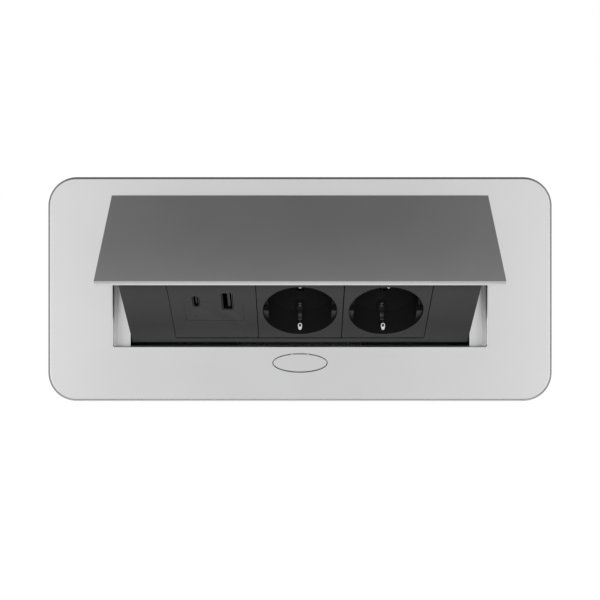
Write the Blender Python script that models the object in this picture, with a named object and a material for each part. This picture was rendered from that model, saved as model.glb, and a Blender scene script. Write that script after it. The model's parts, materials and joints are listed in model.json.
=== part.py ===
"""In-desk power module: a flush frame with a flip-up lid over three 45 mm inserts.

Heights are measured from the frame's top face, and deck_plane lifts the part to stand on Z = 0.
+X points right, -Y to the front with the push button, +Y to the rear with the hinge.
The lid unit is drawn shut and then swung open about its hinge axis. All sizes are in metres.
"""

import math

import bmesh
import bpy
from mathutils import Matrix, Vector

for leftover in list(bpy.data.objects):
    bpy.data.objects.remove(leftover)

GAP = 0.0003
PIN_GAP = 0.00015

FRAME_LENGTH = 0.268
FRAME_WIDTH = 0.1193
FRAME_THICKNESS = 0.003
FRAME_CORNER = 0.0153
FRAME_CHAMFER = 0.0013
OPENING_CORNER = 0.001
OPENING_END_ROOM = 0.00745
RIM_BEVEL = 0.0004
COLLAR_WALL = 0.002
COLLAR_DEPTH = 0.010
REAR_COLLAR_DEPTH = 0.005
SHELF_THICKNESS = 0.002
SHELF_CLEARANCE = 0.00035
BOSS_RADIUS = 0.0032
BOSS_DEPTH = 0.007

TUB_END_ROOM = 0.0089
TUB_SIDE_ROOM = 0.02277
TUB_LOW_ROOM = 0.0077
TUB_CORNER = 0.003
SHEET = 0.001
TAB_LENGTH = 0.0095
TAB_WIDTH = 0.010
TAB_INSET_X = 0.0045
TAB_INSET_Y = 0.0082

SCREW_RADIUS = 0.0015
SCREW_HEAD_RADIUS = 0.0028
SCREW_HEAD = 0.0019
SCREW_REACH = 0.0055
SCREW_CROWN = 0.7
SCREW_SOCKET = 0.4

PIVOT_Z = -0.0232

LID_GAP = 0.0004
LID_THICKNESS = 0.0028
SWING_GAP = 0.0002
LID_BOSS_RADIUS = 0.00325
LID_SCREW_X = 0.075
LID_SCREW_FRONT_Y = -0.006
LID_SCREW_REAR_Y = 0.0145
LID_SCREW_HEAD_RADIUS = 0.0045

BLANK_END = 0.02415
BOX_BACK_ROOM = 0.01643
FACE_SETBACK = 0.01313
BEZEL_THICKNESS = 0.0025
BEZEL_WALL = 0.002
BEZEL_DEPTH = 0.0117
HOOK_TOP_DROP = 0.0022
HOOK_LOW_RISE = 0.0053
HOOK_WIDTH = 0.008
HOOK_THICKNESS = 0.0015
HOOK_BARB_Y = 0.003
HOOK_BARB_LENGTH = 0.0025
BEZEL_STEP = 0.00075
BEZEL_STEP_DEPTH = 0.003
LIP_HEIGHT = 0.003
LIP_RADIUS = 0.003
MODULE = 0.045
MODULE_TOP = -0.0163
SHELL_WALL = 0.002
SHELL_END_GAP = 0.00565
SHELL_CORNER = 0.005

RECESS_MARGIN = 0.0028
RECESS_DEPTH = 0.0175
RECESS_WALL = 0.0015
RECESS_FLOOR = 0.002
EAR_REACH = 0.0027
EAR_NOTCH = 0.0028
EAR_DROP = 0.001
EAR_SLOPE = 0.0006
RIM_CHAMFER = 0.0004
CLIP_WIDTH = 0.012
CLIP_THICKNESS = 0.002
CLIP_LENGTH = 0.003
CLIP_CATCH = 0.0009
PLUG_PIN_SPACING = 0.019
PLUG_PIN_HOLE = 0.0027
STRAP_WIDTH = 0.0024
STRAP_THICKNESS = 0.0007
STRAP_BRIDGE_WIDTH = 0.008
STRAP_PATH = (
    (0.0012, 0.0026),
    (0.0063, 0.0028),
    (0.0072, 0.0016),
    (0.0090, 0.0010),
    (0.0146, 0.0011),
    (0.0158, 0.0030),
    (0.0166, 0.0046),
)
CENTRE_SCREW_HEAD_RADIUS = 0.0022
SLEEVE_RADIUS = 0.003
SLEEVE_BORE = 0.0025
SLEEVE_LENGTH = 0.0078
SLEEVE_SLIT = 0.0008
RAIL_OFFSET = 0.0055
RAIL_THICKNESS = 0.0008
RAIL_HEIGHT = 0.003
BLOCK_DEPTH = 0.0091
BLOCK_HEIGHT = 0.024

USB_Z = 0.0080
USB_A_X = 0.00745
USB_A_MOUTH = (0.0054, 0.0134)
USB_A_CORNER = 0.0007
USB_A_TONGUE = 0.0014
USB_A_TONGUE_SHIFT = 0.00075
USB_C_X = -0.0087
USB_C_MOUTH = (0.0032, 0.0089)
USB_C_CORNER = 0.00158
USB_C_TONGUE = 0.0007
USB_DEPTH = 0.014
USB_SHELL = 0.0004
USB_TONGUE_GAP = 0.0003
USB_TONGUE_ROOT = 0.0025
USB_TONGUE_SETBACK = 0.0012
USB_TONGUE_MARGIN = 0.0012
USB_CASE_MARGIN_X = 0.0045
USB_CASE_MARGIN_Z = 0.0035
USB_CASE_DEPTH = 0.020
USB_CASE_WALL = 0.0015
BOARD_THICKNESS = 0.0016
BOARD_POST = 0.0015
COIL_PLACE = (0.005, 0.003)
COIL_SIZE = (0.014, 0.0085, 0.013)
CHIP_PLACE = (-0.008, -0.009)
CHIP_SIZE = (0.007, 0.003, 0.007)
CAN_PLACES = ((-0.009, 0.010), (-0.009, 0.002), (0.008, -0.011))
CAN_RADIUS = 0.0028
CAN_LENGTH = 0.0085

ARM_THICKNESS = 0.0025
ARM_BOSS_RADIUS = 0.0045
ARM_PAD_RADIUS = 0.003
ARM_PAD_NEAR = 0.031
ARM_PAD_FAR = 0.044
ARM_PAD_HIGH = -0.008
ARM_PAD_LOW = -0.022
HINGE_PIN_RADIUS = 0.002
HINGE_PIN_HEAD_RADIUS = 0.0035
HINGE_PIN_HEAD = 0.0015
HINGE_PIN_LENGTH = 0.018
HINGE_PIN_POINT = 0.0004
HINGE_PIN_TIP_RADIUS = 0.0016
BRACKET_THICKNESS = 0.002
BRACKET_LENGTH = 0.0176
BRACKET_REACH = 0.0137
BRACKET_SCREW_INSET = 0.0036
BRACKET_PEG_SPACING = 0.007
SPRING_WIRE = 0.00055
LID_SPRING_RADIUS = 0.0032
LID_SPRING_TURNS = 4
LID_SPRING_ARM = 0.014
DAMPER_RADIUS = 0.0044
DAMPER_LENGTH = 0.0115
DAMPER_LUG = 0.008
DAMPER_PEG = 0.0015

BUTTON_ROOM = 0.00877
BUTTON_LENGTH = 0.0283
BUTTON_WIDTH = 0.00925
BUTTON_SLIT = 0.0005
BUTTON_FLUSH = 0.0001
BUTTON_NIB_X = 0.0042
BUTTON_NIB_WIDTH = 0.0013
BUTTON_NIB_REACH = 0.00025
BUTTON_FLANGE = 0.0015
BUTTON_LIP = 0.0015
BUTTON_EDGE = 0.0003
BUTTON_TRAVEL = 0.0025
ROD_WIDTH = 0.004
ROD_DEPTH = 0.0042
ROD_FRONT = 0.0016
ROD_WEDGE = 0.0034
ROD_TIP = 0.0006
ROD_SOCKET_DEPTH = 0.003
HOUSING_LENGTH = 0.035
HOUSING_DEPTH = 0.0132
HOUSING_EAR = 0.0033
HOUSING_WALL = 0.0015
HOUSING_FLOOR = -0.0108
HOUSING_SCREW_ROOM = 0.004
BUTTON_SPRING_X = 0.0105
BUTTON_SPRING_RADIUS = 0.0019
FINE_WIRE = 0.0003
FINE_TURNS = 4
FINE_TURN_STEPS = 8

STRIKER_OVERHANG = 0.0038
STRIKER_DEPTH = 0.019
STRIKER_THICKNESS = 0.0012
STRIKER_REACH = 0.004
STRIKER_STUD_INSET = 0.014
STRIKER_STUD_RADIUS = 0.0017
STRIKER_STUD_SETBACK = 0.0133
SLIDER_WIDTH = 0.016
SLIDER_THICKNESS = 0.003
SLIDER_REACH = 0.0053
SLIDER_BITE = 0.0016
SLIDER_NOSE = 0.0022
LATCH_PEG = 0.003
GUIDE_WALL = 0.0027
GUIDE_AHEAD = 0.0048
GUIDE_BEHIND = 0.0092
GUIDE_LIP = 0.0025
GUIDE_SLOT = 0.010
GUIDE_PEG_RADIUS = 0.0013
LATCH_SPRING_RADIUS = 0.0018
BUFFER_ROOM = 0.0009
BUFFER_POST_RADIUS = 0.003
BUFFER_POST_DEPTH = 0.008
BUFFER_RADIUS = 0.0045
BUFFER_TOP_DEPTH = 0.005
BUFFER_LENGTH = 0.00780

CLAMP_WIDTH = 0.024
CLAMP_THICKNESS = 0.002
CLAMP_FOOT = 0.0155
CLAMP_TOP = -0.025
CLAMP_HEIGHT = 0.037
CLAMP_UP = 0.010
CLAMP_DOWN = 0.008
CLAMP_SCREW_Z = -0.044
CLAMP_SCREW_RADIUS = 0.0025
CLAMP_KNOB_RADIUS = 0.007
CLAMP_KNOB_LENGTH = 0.008
CLAMP_KNOB_RIDGES = 12
CLAMP_KNOB_VALLEY = 0.0065
GLAND_Y = 0.034
GLAND_Z = -0.056
GLAND_RADIUS = 0.008
GLAND_BORE = 0.0042
GLAND_NUT_RADIUS = 0.0105
GLAND_NUT_THICKNESS = 0.005
GLAND_CAP_LENGTH = 0.013
GLAND_SHOULDER_LENGTH = 0.0098
GLAND_HEX_LENGTH = 0.0052
GLAND_CAP_RADIUS = 0.0088
GLAND_CAP_MOUTH = 0.0064

RECESS_RADIUS = MODULE / 2 - RECESS_MARGIN
BOX_LENGTH = 3 * MODULE + 2 * BLANK_END
SOCKET_DEPTH = RECESS_DEPTH + RECESS_FLOOR + STRAP_THICKNESS + BLOCK_DEPTH + RAIL_THICKNESS + 3 * GAP
OPENING_LENGTH = BOX_LENGTH + 2 * OPENING_END_ROOM
OPENING_WIDTH = GAP + FACE_SETBACK + SOCKET_DEPTH + BOX_BACK_ROOM
TUB_LENGTH = OPENING_LENGTH + 2 * TUB_END_ROOM
TUB_WIDTH = OPENING_WIDTH + 2 * TUB_SIDE_ROOM
COLLAR_LENGTH = OPENING_LENGTH + 2 * COLLAR_WALL
COLLAR_WIDTH = OPENING_WIDTH + 2 * COLLAR_WALL
SHELF_INNER_X = BOX_LENGTH / 2 + SHELF_CLEARANCE
TUB_INNER_X = TUB_LENGTH / 2 - SHEET
TUB_INNER_Y = TUB_WIDTH / 2 - SHEET
TAB_X = TUB_INNER_X - TAB_INSET_X
TAB_Y = TUB_INNER_Y - TAB_INSET_Y
PIVOT_Y = TUB_INNER_Y - GAP - ARM_BOSS_RADIUS
LID_SWING = math.hypot(PIVOT_Y - OPENING_WIDTH / 2, PIVOT_Z) + SWING_GAP
SHELL_SWING = LID_SWING + 2 * GAP
TAB_Z = -BOSS_DEPTH - GAP
LID_FRONT_Y = -OPENING_WIDTH / 2 + GAP
FACE_Y = LID_FRONT_Y + FACE_SETBACK
BOX_TOP = -LID_THICKNESS - GAP
MODULE_Z = MODULE_TOP - MODULE / 2
MODULE_BOTTOM = MODULE_TOP - MODULE
BOX_BOTTOM = MODULE_BOTTOM - LIP_HEIGHT - LIP_RADIUS
TUB_DEPTH = TUB_LOW_ROOM - BOX_BOTTOM
HOOK_Z = (MODULE_TOP - HOOK_TOP_DROP, MODULE_BOTTOM + HOOK_LOW_RISE)
SHELL_X = BOX_LENGTH / 2 - SHELL_END_GAP
SHELL_FRONT_Y = FACE_Y + BEZEL_THICKNESS + GAP
SOCKET_X = (0.0, MODULE)
USB_MODULE_X = -MODULE
FLOOR_Y = FACE_Y + RECESS_DEPTH
BRIDGE_Y = FLOOR_Y + RECESS_FLOOR + GAP
BLOCK_Y = BRIDGE_Y + STRAP_THICKNESS + GAP
RAIL_Y = BLOCK_Y + BLOCK_DEPTH + GAP
ARM_X = SHELL_X + GAP
BRACKET_X = ARM_X + ARM_THICKNESS + GAP
BRACKET_REAR_Y = PIVOT_Y + LID_SPRING_RADIUS - SPRING_WIRE - GAP
BRACKET_FRONT_Y = TUB_INNER_Y - BRACKET_REACH
BRACKET_SCREW_X = BRACKET_X - BRACKET_SCREW_INSET
BRACKET_SCREW_Y = TAB_Y
STRIKER_TOP = BOX_BOTTOM - GAP
STRIKER_FRONT_Y = FACE_Y - STRIKER_REACH
SLIDER_BOTTOM = STRIKER_TOP + GAP
SLIDER_TOP = SLIDER_BOTTOM + SLIDER_THICKNESS
BUTTON_Y = -OPENING_WIDTH / 2 - BUTTON_ROOM
BUTTON_LOW = -FRAME_THICKNESS - GAP - BUTTON_FLANGE
SLIDER_FRONT_Y = BUTTON_Y - SLIDER_REACH
GUIDE_FRONT_Y = BUTTON_Y - GUIDE_AHEAD
GUIDE_REAR_Y = BUTTON_Y + GUIDE_BEHIND
BUFFER_Y = -COLLAR_WIDTH / 2 - GAP - BUFFER_RADIUS
HOUSING_SCREW_X = HOUSING_LENGTH / 2 + HOUSING_SCREW_ROOM
BUFFER_X = HOUSING_SCREW_X + HOUSING_EAR + BUFFER_ROOM + BUFFER_RADIUS
STRIKER_X = BUFFER_X + STRIKER_OVERHANG
STRIKER_STUD_X = STRIKER_X - STRIKER_STUD_INSET
BUFFER_LOW = -BUFFER_TOP_DEPTH - BUFFER_LENGTH
STRIKER_SWING = math.hypot(STRIKER_FRONT_Y - PIVOT_Y, STRIKER_TOP - PIVOT_Z)
STRIKER_FALL = math.atan2(PIVOT_Z - STRIKER_TOP, PIVOT_Y - STRIKER_FRONT_Y)
OPEN_ANGLE = STRIKER_FALL + math.asin((BUFFER_LOW - GAP - PIVOT_Z) / STRIKER_SWING)
ARM_FALL = math.atan2(-(ARM_PAD_HIGH + ARM_PAD_LOW) / 2, (ARM_PAD_NEAR + ARM_PAD_FAR) / 2)
FLOOR_TOP = -TUB_DEPTH + SHEET

SILVER = ("satin_silver", (0.62, 0.62, 0.63), 0.38, 0.9)
BLACK_PLASTIC = ("black_plastic", (0.035, 0.035, 0.036), 0.5, 0.0)
SHEET_STEEL = ("coated_steel", (0.07, 0.07, 0.072), 0.55, 0.6)
BRIGHT_STEEL = ("bright_steel", (0.6, 0.6, 0.6), 0.28, 1.0)
BRASS = ("brass", (0.78, 0.62, 0.3), 0.3, 1.0)
GREY_PLASTIC = ("grey_plastic", (0.45, 0.45, 0.45), 0.45, 0.0)
BOARD_GREEN = ("circuit_board", (0.03, 0.14, 0.06), 0.5, 0.0)
RUBBER = ("rubber", (0.03, 0.03, 0.03), 0.8, 0.0)


def rectangle(low_a, high_a, low_b, high_b):
    return [(low_a, low_b), (high_a, low_b), (high_a, high_b), (low_a, high_b)]


def arc(centre, radius, start, end, steps):
    """Points on an arc, from one angle in degrees to another."""
    turns = [math.radians(start + (end - start) * i / steps) for i in range(steps + 1)]
    return [(centre[0] + radius * math.cos(t), centre[1] + radius * math.sin(t)) for t in turns]


def rounded_rectangle(length, width, radius, centre=(0.0, 0.0), steps=6):
    """A rectangle whose four corners are quarter circles."""
    a, b = length / 2 - radius, width / 2 - radius
    outline = []
    for turn, (side_a, side_b) in enumerate(((1, 1), (-1, 1), (-1, -1), (1, -1))):
        corner = (centre[0] + side_a * a, centre[1] + side_b * b)
        outline += arc(corner, radius, 90 * turn, 90 * turn + 90, steps)
    return outline


def ellipse(length, width, centre, steps=36):
    turns = [2 * math.pi * i / steps for i in range(steps)]
    return [(centre[0] + length / 2 * math.cos(t), centre[1] + width / 2 * math.sin(t)) for t in turns]


def convex_outline(points):
    """The rubber band round a set of points, counter-clockwise."""
    ordered = sorted(set(points))

    def half(run):
        chain = []
        for p in run:
            while len(chain) > 1 and turn_of(chain[-2], chain[-1], p) <= 0:
                chain.pop()
            chain.append(p)
        return chain[:-1]

    return half(ordered) + half(reversed(ordered))


def turn_of(a, b, c):
    return (b[0] - a[0]) * (c[1] - a[1]) - (b[1] - a[1]) * (c[0] - a[0])


def ribbon(path, thickness):
    """The outline of a bent strip: the path shifted to both sides by half the thickness."""
    sides = ([], [])
    for i, (a, b) in enumerate(path):
        before = path[max(i - 1, 0)]
        after = path[min(i + 1, len(path) - 1)]
        along = Vector((after[0] - before[0], after[1] - before[1])).normalized()
        for side, sign in zip(sides, (1, -1)):
            side.append((a - sign * along.y * thickness / 2, b + sign * along.x * thickness / 2))
    return sides[0] + sides[1][::-1]


def in_space(point, height, axis):
    a, b = point
    return {"X": (height, a, b), "Y": (a, height, b), "Z": (a, b, height)}[axis]


def loft(rings, ends=True):
    """A closed skin over rings with as many points each. Without ends, the last ring joins the first."""
    shape = bmesh.new()
    rows = [[shape.verts.new(point) for point in ring] for ring in rings]
    count = len(rows[0])
    pairs = list(zip(rows, rows[1:])) + ([] if ends else [(rows[-1], rows[0])])
    for low, high in pairs:
        for i in range(count):
            j = (i + 1) % count
            shape.faces.new((low[i], low[j], high[j], high[i]))
    if ends:
        shape.faces.new(rows[0])
        shape.faces.new(rows[-1])
    bmesh.ops.recalc_face_normals(shape, faces=shape.faces)
    return shape


def prism(outline, low, high, axis="Z"):
    return loft([[in_space(p, h, axis) for p in outline] for h in (low, high)])


def box(x, y, z):
    """A block between the low and high values given for each direction."""
    return prism(rectangle(min(x), max(x), min(y), max(y)), min(z), max(z))


def lathe(profile, centre, axis, steps=16, ends=True):
    """A turned solid: each (radius, height) of the profile becomes a ring round the axis."""
    turns = [2 * math.pi * i / steps for i in range(steps)]
    rings = []
    for radius, height in profile:
        ring = [(centre[0] + radius * math.cos(t), centre[1] + radius * math.sin(t)) for t in turns]
        rings.append([in_space(point, height, axis) for point in ring])
    return loft(rings, ends)


def rod(centre, radius, low, high, axis, steps=16):
    return lathe([(radius, low), (radius, high)], centre, axis, steps)


def material(finish):
    """One Principled material for each finish, made when it is first used."""
    name, colour, roughness, metallic = finish
    found = bpy.data.materials.get(name)
    if found:
        return found
    made = bpy.data.materials.new(name)
    made.use_nodes = True
    shader = made.node_tree.nodes["Principled BSDF"]
    shader.inputs["Base Color"].default_value = (*colour, 1.0)
    shader.inputs["Roughness"].default_value = roughness
    shader.inputs["Metallic"].default_value = metallic
    return made


def piece(name, shape, finish, carried_by):
    """An object drawn in the deck's frame, which seat_all later hangs on the empty that carries it."""
    mesh = bpy.data.meshes.new(name)
    shape.to_mesh(mesh)
    shape.free()
    mesh.materials.append(material(finish))
    body = bpy.data.objects.new(name, mesh)
    bpy.context.scene.collection.objects.link(body)
    body["carried_by"] = carried_by
    return body


def combine(body, shapes, operation):
    """Cuts shapes from a body or joins them to it, and keeps the result as the body's mesh."""
    for shape in shapes:
        mesh = bpy.data.meshes.new("tool")
        shape.to_mesh(mesh)
        shape.free()
        tool = bpy.data.objects.new("tool", mesh)
        bpy.context.scene.collection.objects.link(tool)
        modifier = body.modifiers.new("tool", "BOOLEAN")
        modifier.operation = operation
        modifier.solver = "EXACT"
        modifier.object = tool
        result = body.evaluated_get(bpy.context.evaluated_depsgraph_get())
        made = bpy.data.meshes.new_from_object(result)
        body.modifiers.clear()
        before = body.data
        body.data = made
        bpy.data.meshes.remove(before)
        bpy.data.objects.remove(tool)
        bpy.data.meshes.remove(mesh)
    body.data.name = body.name
    return body


def cut(body, *shapes):
    return combine(body, shapes, "DIFFERENCE")


def join(body, *shapes):
    return combine(body, shapes, "UNION")


def seat_all(carriers):
    """Gives each piece its carrier's place as its origin and parents it there, with round faces smooth."""
    for body in [obj for obj in bpy.context.scene.objects if obj.type == "MESH"]:
        empty, place = carriers[body["carried_by"]]
        body.data.transform(Matrix.Translation(-Vector(place)))
        body.data.shade_smooth()
        body.data.set_sharp_from_angle(angle=math.radians(32))
        body.parent = empty
        del body["carried_by"]


def sides(*names):
    """Each name with the sign of its side: the first to the left, the second to the right."""
    return zip(names, (-1, 1))


def small_screw(
    name, place, axis, way, carried_by, head_radius=SCREW_HEAD_RADIUS, reach=SCREW_REACH
):
    """A screw with a domed head on its seat at place, and a shank of length reach beyond it."""
    index = "XYZ".index(axis)
    seat = place[index]
    centre = tuple(value for i, value in enumerate(place) if i != index)
    profile = [
        (SCREW_RADIUS, seat + way * reach),
        (SCREW_RADIUS, seat),
        (head_radius, seat),
        (head_radius, seat - way * SCREW_HEAD / 2),
        (head_radius * SCREW_CROWN, seat - way * SCREW_HEAD),
        (head_radius * SCREW_SOCKET, seat - way * SCREW_HEAD),
        (head_radius * SCREW_SOCKET, seat - way * SCREW_HEAD / 2),
    ]
    return piece(name, lathe(profile, centre, axis, 10), BRIGHT_STEEL, carried_by)


def coil(name, centre, axis, radius, low, high, carried_by):
    """A fine compression spring about an axis, between the two surfaces it stands on."""
    low, high = low + GAP + FINE_WIRE, high - GAP - FINE_WIRE
    steps = FINE_TURN_STEPS * FINE_TURNS
    points = []
    for i in range(steps + 1):
        t = 2 * math.pi * i / FINE_TURN_STEPS
        point = (centre[0] + radius * math.cos(t), centre[1] + radius * math.sin(t))
        points.append(in_space(point, low + (high - low) * i / steps, axis))
    return wire_piece(name, points, FINE_WIRE, carried_by)


def wire_piece(name, points, radius, carried_by):
    """A round wire along points, as a mesh with closed ends."""
    curve = bpy.data.curves.new(name, "CURVE")
    curve.dimensions = "3D"
    curve.bevel_depth = radius
    curve.bevel_resolution = 1
    curve.use_fill_caps = True
    spline = curve.splines.new("POLY")
    spline.points.add(len(points) - 1)
    for spot, point in zip(spline.points, points):
        spot.co = (*point, 1.0)
    helper = bpy.data.objects.new("wire", curve)
    bpy.context.scene.collection.objects.link(helper)
    shape = bmesh.new()
    result = helper.evaluated_get(bpy.context.evaluated_depsgraph_get())
    shape.from_mesh(bpy.data.meshes.new_from_object(result))
    bmesh.ops.remove_doubles(shape, verts=shape.verts, dist=1e-6)
    bmesh.ops.recalc_face_normals(shape, faces=shape.faces)
    bpy.data.objects.remove(helper)
    bpy.data.curves.remove(curve)
    return piece(name, shape, BRIGHT_STEEL, carried_by)


def screw_places():
    """Where screws go up into the frame: the tub's tabs, the hinge brackets and the button housing."""
    places = [(x * TAB_X, y * TAB_Y) for x in (-1, 1) for y in (-1, 1)]
    for side in (-1, 1):
        places.append((side * BRACKET_SCREW_X, BRACKET_SCREW_Y))
        places.append((side * HOUSING_SCREW_X, BUTTON_Y))
    return places


def make_frame():
    """The rim: a chamfered plate with a collar round its opening, two end shelves and screw bosses."""
    def outline(inset):
        return rounded_rectangle(FRAME_LENGTH - 2 * inset, FRAME_WIDTH - 2 * inset, FRAME_CORNER, steps=9)

    rings = [
        [(*p, -FRAME_THICKNESS) for p in outline(0)],
        [(*p, -FRAME_CHAMFER) for p in outline(0)],
        [(*p, 0.0) for p in outline(FRAME_CHAMFER)],
    ]
    frame = piece("frame", loft(rings), SILVER, "deck")
    half_length, half_width = COLLAR_LENGTH / 2, COLLAR_WIDTH / 2
    shelf_low = -COLLAR_DEPTH - SHELF_THICKNESS
    plate_middle = -FRAME_THICKNESS / 2
    join(frame, box((-half_length, half_length), (-half_width, half_width), (shelf_low, plate_middle)))
    flare = [
        (-COLLAR_DEPTH, 0.0),
        (-RIM_BEVEL, 0.0),
        (RIM_BEVEL, 2 * RIM_BEVEL),
    ]
    mouth = []
    for height, spread in flare:
        size = (OPENING_LENGTH + 2 * spread, OPENING_WIDTH + 2 * spread)
        mouth.append([(*p, height) for p in rounded_rectangle(*size, OPENING_CORNER, steps=3)])
    throat = box(
        (-SHELF_INNER_X, SHELF_INNER_X),
        (-COLLAR_WIDTH, COLLAR_WIDTH),
        (shelf_low - GAP, -COLLAR_DEPTH),
    )
    rear = box(
        (-SHELF_INNER_X, SHELF_INNER_X),
        (OPENING_WIDTH / 2 - COLLAR_WALL, COLLAR_WIDTH),
        (-COLLAR_DEPTH - GAP, -REAR_COLLAR_DEPTH),
    )
    cut(frame, loft(mouth), throat, rear)
    for x, y in screw_places():
        join(frame, rod((x, y), BOSS_RADIUS, -BOSS_DEPTH, plate_middle, "Z", 12))
        cut(frame, rod((x, y), SCREW_RADIUS + GAP, -BOSS_DEPTH - GAP, -FRAME_THICKNESS / 2, "Z", 12))
    for side in (-1, 1):
        peg = (side * (BRACKET_SCREW_X - BRACKET_PEG_SPACING), BRACKET_SCREW_Y)
        join(frame, rod(peg, BOSS_RADIUS, -BOSS_DEPTH, plate_middle, "Z", 12))
        join(frame, rod(peg, SCREW_RADIUS, TAB_Z - BRACKET_THICKNESS, plate_middle, "Z", 12))
        post = (side * BUFFER_X, BUFFER_Y)
        join(frame, rod(post, BUFFER_POST_RADIUS, -BUFFER_POST_DEPTH, plate_middle, "Z", 16))
    hole = ellipse(BUTTON_LENGTH + 2 * BUTTON_SLIT, BUTTON_WIDTH + 2 * BUTTON_SLIT, (0.0, BUTTON_Y))
    cut(frame, prism(hole, -FRAME_THICKNESS - GAP, GAP))


def make_tub():
    """The steel box under the worktop, with four tabs folded in to take the screws into the frame."""
    def shell(length, width, radius, low, high):
        return prism(rounded_rectangle(length, width, radius, steps=4), low, high)

    top = -FRAME_THICKNESS - GAP
    tub = piece("tub", shell(TUB_LENGTH, TUB_WIDTH, TUB_CORNER, -TUB_DEPTH, top), SHEET_STEEL, "deck")
    inside = (2 * TUB_INNER_X, 2 * TUB_INNER_Y)
    cut(tub, shell(*inside, TUB_CORNER - SHEET, FLOOR_TOP, top + GAP))
    for side in (-1, 1):
        for y in (-TAB_Y, TAB_Y):
            span = (y - TAB_WIDTH / 2, y + TAB_WIDTH / 2)
            notch = (span[0] - GAP, span[1] + GAP)
            outer = (side * (TUB_INNER_X - SHEET), side * (TUB_INNER_X + 2 * SHEET))
            cut(tub, box(outer, notch, (TAB_Z, top + GAP)))
            reach = (side * (TUB_INNER_X - TAB_LENGTH), side * (TUB_INNER_X + SHEET / 2))
            join(tub, box(reach, span, (TAB_Z - SHEET, TAB_Z)))
            hole = rod((side * TAB_X, y), SCREW_RADIUS + GAP, TAB_Z - 2 * SHEET, TAB_Z + SHEET, "Z", 12)
            cut(tub, hole)
        wall = (side * (TUB_INNER_X - SHEET), side * (TUB_INNER_X + 2 * SHEET))
        screw_hole = rod((0.0, CLAMP_SCREW_Z), CLAMP_SCREW_RADIUS + GAP, min(wall), max(wall), "X", 16)
        cut(tub, screw_hole)
    inlet = (-TUB_INNER_X - 2 * SHEET, -TUB_INNER_X + SHEET)
    cut(tub, rod((GLAND_Y, GLAND_Z), GLAND_RADIUS + GAP, *inlet, "X"))
    for spot in guide_pegs():
        cut(tub, rod(spot, GUIDE_PEG_RADIUS + GAP, -TUB_DEPTH - GAP, FLOOR_TOP + GAP, "Z", 12))
    for i, (x, y) in enumerate([(x, y) for x in (-TAB_X, TAB_X) for y in (-TAB_Y, TAB_Y)]):
        small_screw(f"tub_screw_{i + 1}", (x, y, TAB_Z - SHEET - GAP), "Z", 1, "deck")


def make_gland():
    """The inlet for the mains lead: a threaded body with a domed cap outside and a nut inside the tub."""
    wall = -TUB_INNER_X - SHEET
    body = [
        (GLAND_BORE, wall - GLAND_CAP_LENGTH),
        (GLAND_CAP_MOUTH, wall - GLAND_CAP_LENGTH),
        (GLAND_CAP_RADIUS, wall - GLAND_SHOULDER_LENGTH),
        (GLAND_CAP_RADIUS, wall - GLAND_HEX_LENGTH),
        (GLAND_NUT_RADIUS, wall - GLAND_HEX_LENGTH),
        (GLAND_NUT_RADIUS, wall - GAP),
        (GLAND_RADIUS, wall - GAP),
        (GLAND_RADIUS, wall + SHEET + GLAND_NUT_THICKNESS + 2 * GAP),
        (GLAND_BORE, wall + SHEET + GLAND_NUT_THICKNESS + 2 * GAP),
    ]
    centre = (GLAND_Y, GLAND_Z)
    piece("gland_body", lathe(body, centre, "X", ends=False), BLACK_PLASTIC, "deck")
    low = wall + SHEET + GAP
    high = low + GLAND_NUT_THICKNESS
    hexagon = arc(centre, GLAND_NUT_RADIUS, 0, 300, 5)
    nut = piece("gland_nut", prism(hexagon, low, high, "X"), BLACK_PLASTIC, "deck")
    cut(nut, rod(centre, GLAND_RADIUS + GAP, low - GAP, high + GAP, "X"))


def make_clamps():
    """Worktop clamps: an angle with a long slot, held on each end wall by a thumb screw."""
    for name, side in sides("clamp_left", "clamp_right"):
        near = side * (TUB_LENGTH / 2 + GAP)
        far = near + side * CLAMP_THICKNESS
        tip = near + side * CLAMP_FOOT
        half = CLAMP_WIDTH / 2
        plate = box((near, far), (-half, half), (CLAMP_TOP - CLAMP_HEIGHT, CLAMP_TOP))
        clamp = piece(name, plate, SHEET_STEEL, name)
        join(clamp, box((near, tip), (-half, half), (CLAMP_TOP - CLAMP_THICKNESS, CLAMP_TOP)))
        slot_radius = CLAMP_SCREW_RADIUS + GAP
        slot_middle = CLAMP_SCREW_Z + (CLAMP_DOWN - CLAMP_UP) / 2
        slot_height = CLAMP_UP + CLAMP_DOWN + 2 * slot_radius
        slot = arc((0.0, slot_middle + slot_height / 2 - slot_radius), slot_radius, 0, 180, 12)
        slot += arc((0.0, slot_middle - slot_height / 2 + slot_radius), slot_radius, 180, 360, 12)
        cut(clamp, prism(slot, min(near, far) - GAP, max(near, far) + GAP, "X"))
        seat = far + side * GAP
        inner = side * (TUB_INNER_X - 4 * SHEET)
        grips = []
        for i in range(2 * CLAMP_KNOB_RIDGES):
            radius = CLAMP_KNOB_RADIUS if i % 2 else CLAMP_KNOB_VALLEY
            turn = math.pi * i / CLAMP_KNOB_RIDGES
            grips.append((radius * math.cos(turn), CLAMP_SCREW_Z + radius * math.sin(turn)))
        outer = seat + side * CLAMP_KNOB_LENGTH
        knob = prism(grips, min(seat, outer), max(seat, outer), "X")
        thumb = piece(name.replace("clamp", "clamp_screw"), knob, BRIGHT_STEEL, "deck")
        middle = seat + side * CLAMP_KNOB_LENGTH / 2
        span = (min(inner, middle), max(inner, middle))
        join(thumb, rod((0.0, CLAMP_SCREW_Z), CLAMP_SCREW_RADIUS, *span, "X", 16))


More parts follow.
